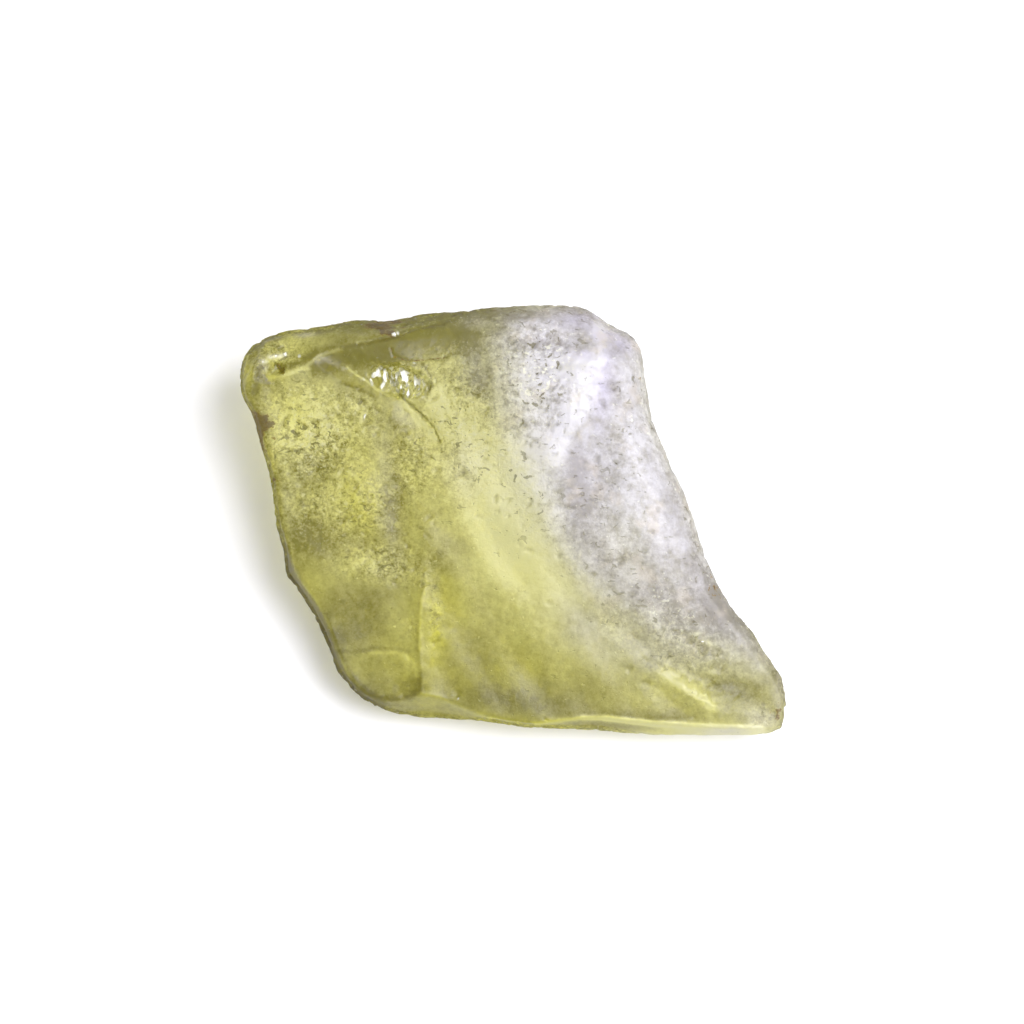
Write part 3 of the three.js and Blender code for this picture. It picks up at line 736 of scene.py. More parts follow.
# Lighter and deeper glass, much of it painted light and shade of the facets and swells, with painted
# highlights where the key light is reflected: middle, half-lengths, turn, and what it adds to the tone.
TONES_AND_PAINTED_LIGHT = [
    # The knob, the back bevel and the smooth glass under it.
    ([-22.0, 12.8], [1.6, 2.4], 0, -0.25),
    ([-20.0, 15.2], [1.2, 0.5], 10, 0.15),
    ([-17.0, 13.8], [2.5, 1.2], 15, -0.25),
    ([-13.0, 14.8], [4.5, 1.7], 8, -0.2),
    ([-16.3, 14.5], [1.4, 0.8], 20, -0.2),
    ([-12.5, 17.0], [5.0, 0.9], 6, -0.45),
    ([-10.5, 15.0], [5.0, 1.1], 8, -0.5),
    ([-13.9, 12.4], [3.4, 0.9], -26, -0.2),
    ([-4.0, 16.5], [5.0, 2.2], 5, -0.45),
    ([-2.8, 12.0], [1.2, 2.0], 0, -0.3),
    ([-3.5, 18.2], [4.0, 0.8], 6, -0.25),
    ([-9.6, 15.6], [2.2, 0.9], 8, -0.2),
    ([-21.4, 15.3], [1.6, 1.2], 20, -0.3),
    ([-4.0, 13.0], [1.4, 3.0], 0, -0.15),
    ([-10.0, 14.0], [2.4, 0.8], 0, -0.15),
    ([-16.3, 13.5], [1.2, 0.8], 20, -0.25),
    ([0.0, 18.2], [4.5, 0.7], 3, -0.2),
    ([-0.4, 18.0], [1.4, 0.8], 0, -0.25),
    ([-2.2, 17.6], [1.5, 1.0], 0, 0.3),
    ([-10.0, 14.0], [2.5, 1.2], 0, -0.2),
    # The left face.
    ([-22.0, 10.3], [1.3, 2.0], 10, -0.3),
    ([-17.0, 8.6], [4.0, 2.4], 0, 0.28),
    ([-16.5, 5.0], [2.2, 1.4], 20, -0.25),
    ([-17.0, -0.8], [2.6, 3.6], 0, -0.3),
    ([-13.0, -6.4], [2.6, 1.4], 0, -0.22),
    ([-6.8, -3.0], [1.6, 2.8], 0, -0.22),
    ([-14.5, 11.0], [1.4, 0.7], -20, -0.2),
    ([-16.0, 6.5], [1.8, 0.8], 0, -0.15),
    ([-14.4, 2.4], [2.6, 2.2], 20, 0.4),
    ([-10.6, 1.0], [1.0, 3.6], 4, -0.5),
    ([-10.0, 8.6], [1.2, 1.0], 0, -0.2),
    ([-18.3, -2.0], [1.8, 1.2], 0, -0.25),
    ([-15.0, -1.6], [3.5, 1.0], -10, -0.2),
    ([-13.6, -3.7], [2.2, 1.0], 0, 0.2),
    ([-14.5, -7.2], [3.5, 1.2], 0, -0.2),
    ([-6.5, 4.0], [1.6, 1.6], 0, 0.15),
    ([-3.0, -1.6], [2.5, 2.5], 0, 0.1),
    ([-4.5, -3.0], [2.5, 3.0], 0, -0.15),
    ([-19.2, 9.4], [1.6, 2.2], 0, 0.2),
    ([-13.2, 5.6], [1.4, 1.0], 0, 0.15),
    ([-13.2, 3.2], [1.2, 1.0], 0, -0.15),
    ([-16.0, 3.2], [1.4, 1.0], 0, 0.15),
    ([-10.0, 10.5], [1.2, 0.9], 0, 0.15),
    ([-4.0, -2.0], [1.4, 1.4], 0, -0.2),
    ([-19.2, -4.4], [1.0, 1.6], 25, -0.2),
    # The bright band from the crescent crack down to the tip, a painted highlight where the faces turn to the
    # key light.
    ([-7.0, 10.4], [2.0, 2.0], 0, 0.15),
    ([-6.8, 8.8], [1.6, 1.6], 0, 0.4),
    ([-4.0, 9.2], [2.0, 1.6], 0, 0.35),
    ([-2.2, 5.8], [2.8, 1.8], -50, 0.3),
    ([-0.6, 1.8], [2.4, 4.6], -10, 0.6),
    ([5.6, -6.0], [2.4, 2.2], -40, 0.25),
    ([8.6, -9.4], [2.4, 1.8], -40, 0.25),
    ([13.4, -11.6], [2.6, 1.4], -30, 0.25),
    ([0.8, -3.0], [5.2, 2.8], -40, 0.6),
    ([-1.0, 3.8], [3.6, 3.2], -50, 0.3),
    ([-6.3, 11.3], [1.3, 2.0], 0, 0.3),
    ([10.2, -10.6], [1.4, 1.0], 0, -0.2),
    ([13.8, -13.6], [1.6, 0.9], -30, 0.3),
    ([-4.2, 7.4], [1.6, 1.8], 0, 0.2),
    ([-0.5, 4.0], [2.0, 2.4], 0, 0.15),
    ([12.5, -12.0], [3.0, 1.2], -20, -0.15),
    ([7.0, -9.0], [2.0, 2.8], -40, -0.12),
    ([0.2, 1.6], [2.4, 4.5], -15, 0.28),
    ([14.2, -11.6], [1.6, 0.9], -20, -0.2),
    ([12.4, -12.2], [2.4, 0.9], -20, -0.15),
    ([5.2, -8.6], [1.4, 1.8], -40, -0.15),
    ([0.6, -1.0], [1.6, 3.0], -20, 0.15),
    ([-3.4, 7.6], [1.2, 1.2], 0, 0.12),
    # The front.
    ([-13.8, -9.7], [2.8, 1.7], 0, -0.35),
    ([-11.8, -16.1], [1.8, 0.6], -20, 0.3),
    ([-1.0, -13.2], [7.0, 3.4], -5, -0.2),
    ([-7.0, -11.0], [2.0, 4.0], 0, -0.12),
    ([1.8, -15.6], [6.0, 1.3], -4, -0.4),
    ([3.6, -8.7], [1.6, 1.3], 0, 0.25),
    ([6.0, -11.2], [2.6, 1.8], 0, 0.3),
    ([-11.6, -13.0], [3.0, 2.0], 0, -0.15),
    ([-6.9, -10.5], [0.9, 4.0], 0, 0.3),
    ([-9.2, -12.3], [0.4, 0.9], 10, 0.4),
    ([-9.1, -9.0], [0.8, 0.8], 0, 0.2),
    ([14.2, -16.5], [1.8, 0.7], -10, -0.2),
    ([18.8, -14.4], [2.2, 1.0], -25, -0.32),
    ([14.0, -18.4], [9.0, 0.6], -1, 0.6),
    ([18.2, -18.3], [2.6, 0.5], 2, 0.5),
    ([-13.5, -8.0], [2.4, 4.0], 10, -0.12),
    ([9.5, -16.9], [5.5, 0.6], -3, -0.32),
    ([14.0, -17.0], [2.0, 0.6], -3, -0.25),
    ([9.5, -17.9], [6.0, 0.6], -3, -0.6),
    ([-6.5, -14.5], [3.5, 1.5], -6, -0.1),
    ([-10.2, -14.7], [2.4, 1.2], -8, -0.15),
    ([17.2, -18.0], [3.6, 0.5], -3, 0.45),
    ([17.4, -12.9], [0.3, 0.3], 0, 0.5),
    ([-7.0, -9.5], [1.2, 1.4], 0, -0.12),
    ([-4.0, -9.8], [1.4, 1.2], 0, -0.12),
    ([-16.2, -9.6], [0.9, 1.6], 20, -0.2),
    ([6.5, -14.4], [2.4, 1.2], -5, -0.12),
    ([-1.0, -17.0], [4.0, 0.9], -6, 0.12),
    ([-7.5, -16.2], [3.5, 0.9], -5, -0.12),
    ([2.0, -17.6], [4.0, 0.5], 0, -0.15),
    # The right face and the tip.
    ([16.5, -10.5], [3.0, 2.0], -35, -0.15),
    ([2.4, 10.4], [1.6, 1.8], 0, 0.3),
    ([5.6, 5.0], [1.3, 1.6], 0, -0.2),
    ([8.4, 13.2], [0.8, 1.2], 0, -0.2),
    ([14.0, 3.0], [1.0, 2.0], 15, -0.2),
    # A painted highlight: the key light's hot spot.
    ([4.9, 13.6], [1.2, 0.9], 0, 0.8),
    ([11.5, 5.2], [1.2, 1.6], 0, -0.15),
    ([14.2, -0.5], [1.3, 3.5], 20, -0.12),
    ([-0.6, 8.4], [1.5, 1.6], 0, -0.12),
    ([20.4, -4.6], [1.4, 2.4], 20, -0.25),
    ([23.3, -15.8], [0.9, 2.4], 5, -0.15),
    # Painted glints.
    ([15.9, -9.7], [0.4, 0.22], 10, 0.9),
    ([17.0, -10.5], [0.3, 0.2], -30, 0.8),
    ([5.2, 5.4], [1.2, 1.2], 0, -0.2),
    ([5.0, -1.6], [1.2, 1.4], 0, -0.2),
    ([17.4, -9.4], [1.4, 1.4], -40, -0.2),
    ([0.4, 8.2], [2.4, 1.2], 0, -0.12),
    ([5.0, 0.6], [1.2, 2.2], 0, -0.15),
    ([21.6, -15.6], [2.2, 2.6], 0, -0.25),
    ([19.0, -8.5], [5.0, 1.4], -50, -0.45),
    ([14.5, -6.6], [4.4, 3.4], -40, -0.3),
    ([8.6, -3.6], [2.4, 2.6], 0, -0.25),
    ([12.5, -7.5], [3.2, 3.6], -40, -0.14),
    ([7.4, 3.4], [1.4, 2.4], 0, -0.2),
    ([2.0, 15.6], [2.0, 0.8], 0, -0.25),
    ([6.0, 1.0], [1.5, 4.4], 8, -0.3),
    ([6.5, 17.2], [3.4, 1.2], -12, -0.3),
    ([8.6, 11.5], [1.0, 2.6], -5, -0.15),
    ([8.0, 15.8], [0.9, 0.8], 0, 0.5),
    ([18.2, -4.6], [1.4, 2.4], 20, -0.4),
    ([22.8, -14.5], [1.3, 2.6], 15, -0.05),
    ([12.4, -2.0], [1.2, 2.2], 0, -0.2),
    ([9.0, 10.5], [1.6, 3.0], 0, -0.2),
    ([1.0, 13.4], [1.6, 1.6], 0, 0.3),
    # A painted highlight: the key light's hot spot.
    ([5.0, 13.3], [1.1, 0.8], 0, 1.1),
    ([7.4, 16.8], [0.6, 0.8], -10, 0.9),
    ([3.5, 15.5], [3.4, 0.6], 2, -0.3),
    ([8.6, 14.7], [1.2, 0.5], 20, -0.3),
    ([5.6, 3.6], [1.3, 3.0], 5, -0.4),
    ([10.8, 5.6], [1.3, 3.8], 12, 0.2),
    ([10.4, 0.0], [1.4, 1.4], 0, 0.2),
    ([6.4, -3.6], [1.6, 1.2], 0, -0.2),
    ([11.2, -6.3], [1.6, 1.2], 0, -0.35),
    ([14.2, -5.4], [1.2, 1.4], 0, 0.25),
    ([16.6, -7.8], [2.0, 1.2], -30, -0.3),
    ([16.5, -10.3], [1.4, 0.6], -20, 0.2),
]
# Painted light and shade in fine lines where the glass breaks, along its edges, cracks and steps: path,
# half-width, and what it adds to the tone.
PAINTED_LIGHT_LINES = [
    # Painted highlights along the edge over the front bevel, brighter and brighter to the right, and a
    # painted highlight streak by the tip.
    (FRONT_EDGE[1:6], 0.2, 0.25),
    (FRONT_EDGE[5:9], 0.16, 0.3),
    (FRONT_EDGE[7:], 0.2, 0.4),
    (FRONT_EDGE[8:], 0.2, 0.4),
    (FRONT_EDGE[9:], 0.2, 0.5),
    (FRONT_EDGE[10:], 0.3, 0.7),
    ([[13, -13], [15, -14.3], [16.5, -15.3], [17.2, -16.1]], 0.45, 0.6),
    # The painted highlight on the light side of the frosted swell.
    ([[7.35, 13.9], [7.0, 12.8], [6.4, 11.4], [5.6, 10.0], [4.8, 8.7], [4.1, 7.2], [3.6, 5.6]], 0.75, 0.9),
    # Painted light and shade round the two scars in the lower left, and along the upright edge.
    ([[-15.3, -11.2], [-14, -11.25], [-12, -11.0], [-10, -11.0], [-9.1, -11.3]], 0.2, -0.22),
    ([[-12.3, -11.35], [-10.1, -11.35], [-9.3, -11.7], [-8.6, -12.4], [-8.35, -13.3]], 0.2, 0.35),
    (
        [[-8.1, -13.2], [-8.1, -14.5], [-8.7, -15.05], [-10.3, -15.4], [-11.8, -15.25], [-13.0, -14.5]],
        0.26,
        -0.3,
    ),
    ([[-14.9, -11.6], [-14.4, -12.6], [-13.9, -13.4], [-13.0, -14.4]], 0.2, -0.2),
    (UPRIGHT_EDGE, 0.16, 0.3),
    ([[-8.35, -11.2], [-8.2, -8.0], [-7.85, -5.2]], 0.14, -0.2),
    # The left rim, a painted highlight along its crest and painted shade outside it.
    (
        [
            [-19.3, -2.0], [-19.0, -4.2], [-18.7, -5], [-17.6, -6.2], [-17, -7], [-16.4, -8.2], [-15.9, -9.4],
            [-15.6, -10.5], [-15, -12], [-14.3, -13.4],
        ],
        0.15,
        0.25,
    ),
    (
        [
            [-19.8, -2.6], [-19.4, -4.6], [-18.2, -6.5], [-17.0, -8.6], [-16.1, -11.0], [-15.2, -13.0],
            [-13.6, -14.8], [-11.5, -16.0],
        ],
        0.45,
        -0.28,
    ),
    # The dark line under the back bevel, painted shade in its step.
    ([[-15.0, 15.1], [-13, 15.4], [-11.5, 15.7], [-10, 16.1], [-8, 16.75], [-6, 17.15]], 0.13, -0.45),
    # Painted light and shade on the knob, and on the edge and the step beside it.
    ([[-20.0, 12.7], [-18.0, 13.5], [-17.0, 14.3], [-15, 15.05]], 0.2, 0.35),
    ([[-21.3, 12.0], [-22.1, 13.0], [-21.9, 14.0]], 0.25, -0.3),
    ([[-21.6, 14.0], [-20.8, 14.3], [-20.2, 14.2]], 0.3, 0.7),
    ([[-21.2, 12.5], [-19.6, 12.8], [-17.8, 13.3]], 0.2, 0.4),
    (CRACKS["in the knob"][0], 0.16, -1.2),
    ([[-20.0, 13.5], [-19.0, 13.6], [-18.0, 14.2], [-17.2, 14.8]], 0.3, -0.3),
    ([[-21.9, 14.0], [-22.0, 13.0], [-22.2, 12.2], [-22.5, 11.3]], 0.25, -0.25),
    ([[-21.5, 15.2], [-19.5, 15.7], [-17.6, 16.1]], 0.3, 0.25),
    ([[-23.2, 14.3], [-23.1, 13.2], [-23.0, 12.4]], 0.25, 0.3),
    # Painted light and shade round the chip, and along the crescent crack.
    (CRACKS["crescent"][0], 0.1, -0.5),
    ([[-9.3, 10.1], [-8.3, 8.9], [-7.4, 7.9], [-6.9, 7.2]], 0.3, 0.45),
    ([[-7.9, 13.7], [-7.2, 12.7], [-7.1, 11.9], [-7.4, 11.0]], 0.14, -0.6),
    (CRACKS["over the chip"][0], 0.1, 0.9),
    ([[-15.0, 12.1], [-13.4, 11.5], [-12.0, 10.8]], 0.2, -0.3),
]
# Painted glints: broken glass in the chip and at a few nicks, painted bright where its planes would catch the
# light: middle, half-lengths, turn, strength.
PAINTED_GLINTS = [
    ([-10.1, 12.1], [2.9, 1.5], -12, 0.4),
    ([-11.05, 12.5], [0.34, 0.6], 8, 1.1),
    ([-12.0, 12.8], [0.26, 0.5], -35, 0.95),
    ([-12.4, 12.45], [0.4, 0.12], -35, 0.8),
    ([-10.12, 11.9], [0.26, 0.8], 6, 1.1),
    ([-9.4, 12.1], [0.7, 0.7], 20, 0.72),
    ([-9.2, 12.4], [0.35, 0.14], 30, 1.0),
    ([-10.35, 12.9], [0.1, 0.4], 0, 0.9),
    ([-9.1, 11.1], [0.3, 0.3], -40, 0.8),
    ([-8.55, 11.9], [0.12, 0.5], 0, 0.7),
    ([-8.4, 13.7], [0.35, 0.1], -20, 0.7),
    ([-7.9, 13.6], [0.2, 0.16], 0, 0.7),
    ([-7.6, 13.3], [0.3, 0.12], 0, 0.6),
    ([-20.9, 14.4], [0.35, 0.12], 10, 0.6),
    ([-19.75, 14.65], [0.28, 0.3], 10, 0.45),
    ([-21.6, 13.9], [0.16, 0.3], 10, 0.55),
    ([-18.6, 14.4], [0.4, 0.2], 10, 0.4),
    ([-10.2, 16.35], [0.4, 0.25], 10, 0.55),
    ([-14.8, 8.4], [0.22, 0.15], 20, 0.8),
    ([-12.8, 9.1], [0.15, 0.22], 0, 0.8),
    ([-4.8, -15.4], [0.18, 0.09], 70, 0.5),
    ([12.1, -5.9], [0.2, 0.1], -20, 0.8),
    ([16.5, -10.5], [0.28, 0.12], -20, 0.8),
]
# Where the glass is a deeper yellow.
AMBER = [
    ([-2.0, -13.6], [8.0, 3.8], -6, 0.9),
    ([-12.0, -12.5], [4.0, 3.0], 0, 0.5),
    ([-8.2, -14.6], [4.0, 2.0], -8, 0.85),
    ([9.0, -15.0], [7.0, 2.4], -15, 0.3),
    ([-6.4, -9.5], [2.0, 6.0], 0, 1.0),
    ([-17.4, -8.0], [2.6, 7.0], 25, 0.65),
    ([0.0, -17.4], [10.0, 1.2], -3, 1.0),
    ([22.8, -15.5], [1.4, 3.0], 0, 0.7),
    ([19.6, -5.5], [1.7, 4.2], 25, 0.8),
    ([-13.2, 1.5], [2.0, 4.5], 0, 0.6),
    ([21.2, -9.5], [0.8, 5.5], 35, 0.8),
    ([10.0, -3.0], [2.4, 5.0], 30, 0.35),
    ([12.4, -9.2], [5.5, 2.6], -30, 0.4),
    ([-22.0, 12.4], [1.8, 3.0], 0, 0.7),
    ([-19.2, 9.2], [1.8, 2.4], 0, 0.35),
    ([-19.4, 14.6], [2.6, 1.2], 10, 0.3),
    ([-9.8, 14.4], [2.6, 1.6], 8, 0.4),
]
# Painted reflection: where the frost shows a violet sheen, the cool key light's colour painted in.
PAINTED_SHEEN_ZONES = [
    ([7.8, 12.0], [0.9, 3.6], -8, 1.0),
    ([6.0, 17.9], [2.8, 1.3], -12, 0.9),
    ([8.6, 15.9], [2.2, 1.0], -20, 1.0),
    ([6.0, 14.6], [1.4, 0.5], 0, 0.7),
]
# How wide the painted shade along the rim of the face is.
RIM_SHADE_WIDTH = 0.9


def place_marks(points, rim, crest):
    """The marks at each point, given how far it lies inside the outline and inside the crest."""
    u, v, w = points.T
    ragged = cloud(points, 1.1, seed=6.1)
    upper = smooth_step(-8.5, -3, w + cloud(points, 2.6, seed=2.4))
    tone_and_painted_light = np.zeros(len(u))
    for middle, size, turn, strength in TONES_AND_PAINTED_LIGHT:
        tone_and_painted_light += strength * oval_hill(middle, size, turn, u, v)
    for path, half_width, strength in PAINTED_LIGHT_LINES:
        tone_and_painted_light += strength * path_hill(path, half_width, u, v)
    # Painted light and shade: the rim of the face is darker and deeper yellow, most on the left, away from
    # the key light; the front bevel is painted lighter and the left bevel darker.
    left = smooth_step(8, -2, u)
    rim_shade = fading(rim, RIM_SHADE_WIDTH) * (1 - smooth_step(-4, 6, u) * smooth_step(-14, -17, v))
    front_bevel_light = smooth_step(0.1, -0.4, crest) * smooth_step(-12, -8, u) * smooth_step(-12, -15, v)
    left_bevel_shade = smooth_step(0.1, -0.5, crest) * smooth_step(-9, -13, u) * smooth_step(1, -3, v)
    tone_and_painted_light += 0.15 * front_bevel_light - (0.12 + 0.16 * left) * rim_shade
    pale_and_sheen = smooth_step(-3.6, 4.0, depth_inside(PALE_SKIN_AND_SHEEN, u, v)) * (1 - 0.3 * smooth_step(0, -9, v))
    # Iron stains have ragged edges and fade out down the sides.
    iron_u = u + 0.7 * cloud(points, 0.9, seed=5.2)
    iron_v = v + 0.7 * cloud(points, 0.9, seed=9.4)
    near_face = smooth_step(-5.5, -0.5, w + 1.3 * ragged) * (1 + 0.7 * ragged)
    stains = zone_strength(IRON_STAINS, iron_u, iron_v) * near_face
    stained_crack = 0.6 * path_hill(CRACKS["above the chip"][0], 0.1, u, v)
    return {
        "tone_and_painted_light": 0.5 + tone_and_painted_light * upper,
        "pale_and_sheen": np.maximum(pale_and_sheen, zone_strength(PALE_AND_LIT_PATCHES, u, v)) * (0.35 + 0.65 * upper),
        "amber": np.maximum(zone_strength(AMBER, u, v), (0.3 + 0.6 * left) * rim_shade),
        "painted_sheen": zone_strength(PAINTED_SHEEN_ZONES, u, v),
        "iron": np.maximum(stains, stained_crack),
        "painted_glint": zone_strength(PAINTED_GLINTS, u, v) * upper,
        "gloss": zone_strength(GLOSS_ZONES, u, v) * upper,
        # The left bevel's painted shade.
        "deep": left_bevel_shade * upper,
    }


def build_stone():
    points, triangles, wear, rim, crest = carved_shell()
    marks = {**wear, **place_marks(points, rim, crest)}
    row = to_row(points) * MILLIMETRE
    mesh = bpy.data.meshes.new("desert_glass_stone")
    mesh.from_pydata(np.clip(row, *cad_box).tolist(), [], triangles.tolist())
    for name, values in marks.items():
        attribute = mesh.attributes.new(name, "FLOAT", "POINT")
        attribute.data.foreach_set("value", values.astype(np.float32))
    mesh.shade_smooth()
    mesh.materials.append(weathered_glass())
    stone = bpy.data.objects.new("desert_glass_stone", mesh)
    bpy.context.scene.collection.objects.link(stone)
    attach(stone, "root")
    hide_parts("desert_glass")


# ---------------------------------------------------------------- materials


class Wire:
    """An output socket that Python arithmetic can be written with."""

    def __init__(self, nodes, socket):
        self.nodes = nodes
        self.socket = socket

    def maths(self, operation, *values):
        return self.nodes.add("ShaderNodeMath", {"operation": operation}, dict(enumerate(values)))

    def __add__(self, other):
        return self.maths("ADD", self, other)

    __radd__ = __add__

    def __mul__(self, other):
        return self.maths("MULTIPLY", self, other)

    __rmul__ = __mul__

    def __sub__(self, other):
        return self.maths("SUBTRACT", self, other)

    def __rsub__(self, other):
        return self.maths("SUBTRACT", other, self)

    def clamped(self):
        return self.nodes.add("ShaderNodeClamp", {}, {0: self})

    def ramp(self, low, high):
        """0 below low and 1 above high, eased in between."""
        settings = {"interpolation_type": "SMOOTHSTEP"}
        return self.nodes.add("ShaderNodeMapRange", settings, {0: self, 1: low, 2: high, 3: 0.0, 4: 1.0})


class Nodes:
    """The nodes of one material."""

    def __init__(self, name):
        self.material = bpy.data.materials.new(name)
        self.material.use_nodes = True
        self.tree = self.material.node_tree
        self.tree.nodes.clear()

    def add(self, kind, settings, sockets, output=0):
        node = self.tree.nodes.new(kind)
        for name, value in settings.items():
            setattr(node, name, value)
        for name, value in sockets.items():
            if isinstance(value, Wire):
                self.tree.links.new(value.socket, node.inputs[name])
            else:
                node.inputs[name].default_value = value
        return Wire(self, node.outputs[output]) if node.outputs else None

    def mark(self, name):
        return self.add("ShaderNodeAttribute", {"attribute_name": name}, {}, "Fac")

    def mix(self, share, first, second, blend="MIX"):
        settings = {"data_type": "RGBA", "blend_type": blend}
        return self.add("ShaderNodeMix", settings, {0: share, 6: first, 7: second}, 2)

    def tinted(self, share, colour, tint):
        return self.mix(share, colour, tint, "MULTIPLY")

    def scaled(self, vector, factor):
        return self.add("ShaderNodeVectorMath", {"operation": "SCALE"}, {0: vector, "Scale": factor})

    def drawn_out(self, place, turn, scale):
        return self.add("ShaderNodeMapping", {}, {"Vector": place, "Rotation": (0, 0, turn), "Scale": scale})

    def noise(self, place, scale, detail, roughness=0.55, distortion=0.0):
        sockets = {
            "Vector": place,
            "Scale": scale,
            "Detail": detail,
            "Roughness": roughness,
            "Distortion": distortion,
        }
        return self.add("ShaderNodeTexNoise", {}, sockets)


# The glass under its skin, from its lightest to its deepest, which also carry painted light and shade, and
# the tints laid over it, the violet one a painted reflection of the key light.
CREAM = (0.97, 0.96, 0.56, 1)
HONEY = (0.95, 0.93, 0.41, 1)
OLIVE = (0.2, 0.18, 0.025, 1)
DEEP = (0.11, 0.09, 0.004, 1)
AMBER_TINT = (1.0, 0.99, 0.24, 1)
SHEEN_TINT = (0.88, 0.85, 1.0, 1)
# The frosted skin with the painted sheen of the key light on it, and how much of its colour the frosted
# shader keeps, since it sends back more light.
PALE_AND_SHEEN = (0.88, 0.865, 0.95, 1)
GREY = (0.42, 0.39, 0.42, 1)
PEACH = (0.84, 0.74, 0.66, 1)
FROST_SHADE = 0.56
# Crumbs that are partly painted glints, dust and painted shade in the pits, iron stains, and the painted lit
# and shaded planes in the chip.
CRUMB_AND_GLINT = (0.96, 0.96, 0.74, 1)
PIT_DUST_AND_SHADE = (0.085, 0.072, 0.008, 1)
IRON = (0.085, 0.04, 0.0, 1)
RUST = (0.33, 0.2, 0.03, 1)
LIT_SHARD = (0.97, 0.97, 0.93, 1)
SHADED_SHARD = (0.4, 0.4, 0.28, 1)
# The clear glass itself. Its density is per metre.
GLASS_IOR = 1.46
CLEARNESS = 0.8
INSIDE_COLOUR = (0.98, 0.98, 0.5, 1)
INSIDE_DENSITY = 24.0
BUMP_HEIGHT = 0.09
BUMP_STRENGTH = 0.5


def weathered_glass():
    glass = Nodes("weathered_desert_glass")
    place = glass.scaled(glass.add("ShaderNodeTexCoord", {}, {}, "Object"), 1 / MILLIMETRE)
    tone_and_painted_light, rough, side, hollow = (glass.mark(name) for name in ("tone_and_painted_light", "rough", "side", "hollow"))
    pale_and_sheen, amber, painted_sheen, deep = (glass.mark(name) for name in ("pale_and_sheen", "amber", "painted_sheen", "deep"))
    iron, painted_glint, gloss = (glass.mark(name) for name in ("iron", "painted_glint", "gloss"))
    broad = glass.noise(place, 0.16, 4.0)
    middle = glass.noise(place, 0.6, 4.0)
    mottle = glass.noise(place, 1.7, 3.0, 0.6)
    fine = glass.noise(place, 4.5, 2.0, 0.6)

    # Dark flecks of dust and painted shade in small pits, and pale crumbs that are partly painted glints,
    # both drawn out by the wind.
    spots = glass.noise(glass.drawn_out(place, 0.7, (0.8, 1.2, 1)), 1.5, 2.0, 0.6, 0.8)
    fleck = (spots + 0.08 * (rough - 1) + 0.15 * (fine - 0.5)).ramp(0.6, 0.63)
    # Pale crumbs, partly painted glints where the rims of small pits would catch the light.
    crumb_and_glint = 0.5 * glass.noise(place, 2.8, 2.0, 0.5) + 0.5 * (1 - spots) + 0.1 * (rough - 1)
    crumb_and_glint = crumb_and_glint.ramp(0.54, 0.6)
    dust_and_shade_share = (fleck * (0.35 + 0.65 * rough) + 0.75 * hollow * (0.6 + 0.8 * (fine - 0.3))).clamped()

    # The body of the glass: olive at 0, honey at 1, with cream from 0.7 up and deep glass below 0. Its
    # lightness also carries the painted light and shade of the tone marks and the left bevel's painted shade.
    speckle = (0.5 + 2.4 * rough) * (mottle - 0.5) + (0.4 + rough * (2.2 - 0.9 * pale_and_sheen)) * (fine - 0.5)
    speckle = speckle + 0.2 * crumb_and_glint
    light = tone_and_painted_light + 0.02 + 0.5 * (broad - 0.5) + (0.4 + 0.5 * rough) * (middle - 0.5) + speckle - 0.5 * deep
    body = glass.mix(light.clamped(), OLIVE, HONEY)
    body = glass.mix((1.2 * (light - 0.7)).clamped(), body, CREAM)
    body = glass.tinted(amber, body, AMBER_TINT)
    body = glass.mix((-1.4 * light).clamped(), body, DEEP)

    # The frosted skin with its painted sheen, and how thick it lies.
    frost_and_sheen = glass.mix((tone_and_painted_light + 0.2 + 1.4 * (middle - 0.5) + speckle).clamped(), GREY, PALE_AND_SHEEN)
    frost_and_sheen = glass.tinted(0.6 * amber, glass.tinted(painted_sheen, frost_and_sheen, SHEEN_TINT), AMBER_TINT)
    frost_and_sheen = glass.mix(glass.noise(place, 0.45, 3.0).ramp(0.54, 0.68) * 0.4, frost_and_sheen, PEACH)
    skin_and_sheen = (pale_and_sheen * (0.95 + 0.9 * (middle - 0.5) + 0.8 * (mottle - 0.5))).clamped()

    # Painted glints and painted shade on the splinters of broken glass, each splinter lit or shaded at
    # random, and iron stains with crumbled edges. The * 1.0 makes each splinter's random colour a number.
    cells = {"Vector": glass.drawn_out(place, 0.15, (1.9, 0.8, 1)), "Scale": 1.7}
    shard = glass.add("ShaderNodeTexVoronoi", {}, cells, "Color") * 1.0
    glinting = (painted_glint + 1.6 * (shard - 0.5)).ramp(0.5, 0.58) * painted_glint.ramp(0.1, 0.3)
    shard_light_and_shade = glass.mix((shard + 0.5 * (painted_glint - 0.8)).ramp(0.4, 0.62), SHADED_SHARD, LIT_SHARD)
    crumbled = (1.6 * (mottle - 0.5) + 1.2 * (fine - 0.5)) * iron.ramp(0.05, 0.3)
    stain = (iron + crumbled).ramp(0.3, 0.85)

    def marked(colour):
        colour = glass.mix(crumb_and_glint * (0.1 + 0.4 * rough), colour, CRUMB_AND_GLINT)
        colour = glass.mix(0.85 * dust_and_shade_share, colour, PIT_DUST_AND_SHADE)
        colour = glass.mix(0.9 * stain.ramp(0, 0.6), colour, glass.mix(stain, RUST, IRON))
        return glass.mix(glinting, colour, shard_light_and_shade)

    roughness = (0.44 + 0.3 * (fine - 0.5) + 0.1 * rough - 0.12 * gloss + 0.25 * side).clamped()
    grit = 0.5 * glass.noise(place, 7.0, 2.0) * (0.3 + rough)
    height = (fine * (0.35 + rough) + grit - 1.2 * fleck + 0.6 * crumb_and_glint) * (1 - 0.85 * gloss)
    relief = {"Height": height, "Strength": BUMP_STRENGTH, "Distance": BUMP_HEIGHT * MILLIMETRE}
    bump = glass.add("ShaderNodeBump", {}, relief)

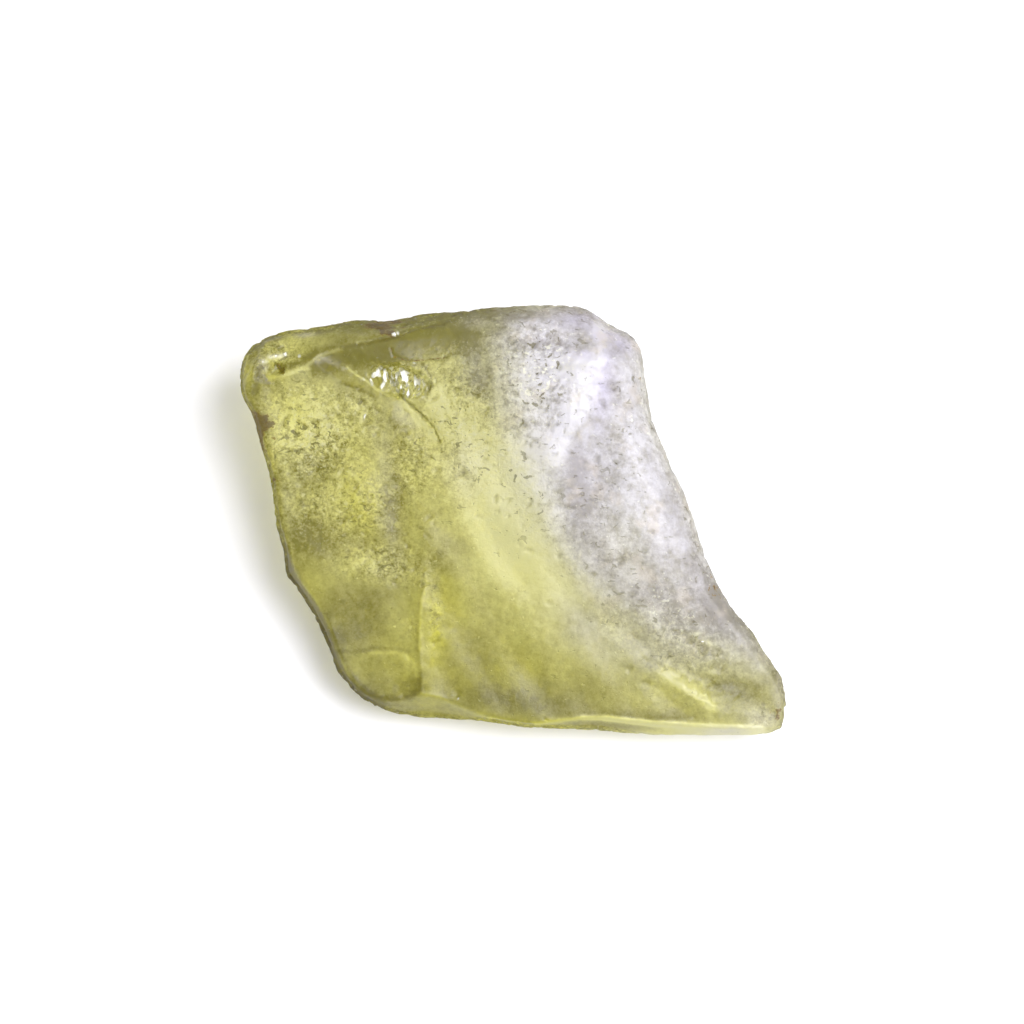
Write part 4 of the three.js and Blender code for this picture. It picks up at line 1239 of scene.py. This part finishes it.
    def shader(colour, clearness):
        sockets = {
            "Base Color": colour,
            "Roughness": roughness,
            "Normal": bump,
            "IOR": GLASS_IOR,
            "Transmission Weight": clearness,
        }
        return glass.add("ShaderNodeBsdfPrincipled", {}, sockets)

    clear = shader(marked(glass.mix(0.8 * skin_and_sheen, body, frost_and_sheen)), CLEARNESS)
    frosted = shader(marked(glass.scaled(frost_and_sheen, FROST_SHADE)), 0.0)
    share = (0.6 * skin_and_sheen + 0.5 * glinting * shard.ramp(0.45, 0.6)).clamped()
    surface = glass.add("ShaderNodeMixShader", {}, {0: share, 1: clear, 2: frosted})
    absorption = {"Color": INSIDE_COLOUR, "Density": INSIDE_DENSITY}
    inside = glass.add("ShaderNodeVolumeAbsorption", {}, absorption)
    glass.add("ShaderNodeOutputMaterial", {}, {"Surface": surface, "Volume": inside})
    return glass.material


TABLE_DARK = (0.80, 0.80, 0.80, 1)
TABLE_LIGHT = (0.84, 0.84, 0.84, 1)


def table_paper():
    paper = Nodes("pale_table")
    place = paper.add("ShaderNodeTexCoord", {}, {}, "Object")
    colour = paper.mix(paper.noise(place, 40.0, 3.0), TABLE_DARK, TABLE_LIGHT)
    surface = paper.add("ShaderNodeBsdfPrincipled", {}, {"Base Color": colour, "Roughness": 0.7})
    paper.add("ShaderNodeOutputMaterial", {}, {"Surface": surface})
    return paper.material


# ---------------------------------------------------------------- studio

# Lengths here are in metres, apart from the camera's aim, which is in the face frame.
TABLE_HALF = 6.0
TABLE_DROP = 0.1 * MILLIMETRE
ROOM_COLOUR = (0.98, 0.98, 1.0, 1)
ROOM_STRENGTH = 0.72
LIGHT_AIM = Vector((0, 0, 0.008))
CAMERA_AIM = np.array([-0.13, 0.87, -3.5])
CAMERA_DISTANCE = 0.62
CAMERA_LENS = 250
CAMERA_REACH = 100


def add_object(name, data, place, aim=None):
    made = bpy.data.objects.new(name, data)
    bpy.context.scene.collection.objects.link(made)
    made.location = place
    if aim is not None:
        made.rotation_euler = (Vector(place) - Vector(aim)).to_track_quat("Z", "Y").to_euler()
    return made


def softbox(name, right, back, distance, size, radiance, colour):
    """A soft light over the face. It leans off the face's normal by two angles, to the right and back."""
    way = np.array([slope(right), slope(back), 1.0])
    way = FACE_TURN @ (way / np.linalg.norm(way))
    light = bpy.data.lights.new(name, "AREA")
    light.shape = "RECTANGLE"
    light.size, light.size_y = size
    light.energy = radiance * math.pi * size[0] * size[1]
    light.color = colour
    lamp = add_object(name, light, LIGHT_AIM + Vector(way) * distance, LIGHT_AIM)
    lamp.visible_camera = False


def build_studio():
    scene = bpy.context.scene
    table = bpy.data.meshes.new("table")
    half = TABLE_HALF
    corners = [(-half, -half, 0), (half, -half, 0), (half, half, 0), (-half, half, 0)]
    table.from_pydata(corners, [], [(0, 1, 2, 3)])
    table.materials.append(table_paper())
    add_object("table", table, (0, 0, -TABLE_DROP))

    world = bpy.data.worlds.new("studio")
    scene.world = world
    world.use_nodes = True
    room = world.node_tree.nodes["Background"]
    room.inputs["Color"].default_value = ROOM_COLOUR
    room.inputs["Strength"].default_value = ROOM_STRENGTH

    softbox(
        "key", right=27, back=10, distance=0.5, size=(0.34, 0.34), radiance=11.5, colour=(0.94, 0.93, 1)
    )
    softbox(
        "front fill", right=15, back=-50, distance=0.6, size=(0.5, 0.4), radiance=1.1, colour=(1, 0.99, 0.96)
    )

    lens = bpy.data.cameras.new("camera")
    lens.lens = CAMERA_LENS
    lens.clip_end = CAMERA_REACH
    aim = to_row(CAMERA_AIM) * MILLIMETRE
    way = FACE_TURN @ np.array([0.0, 0.0, 1.0])
    scene.camera = add_object("camera", lens, Vector(aim + way * CAMERA_DISTANCE), Vector(aim))
    scene.view_settings.view_transform = "Standard"


build_stone()
build_studio()
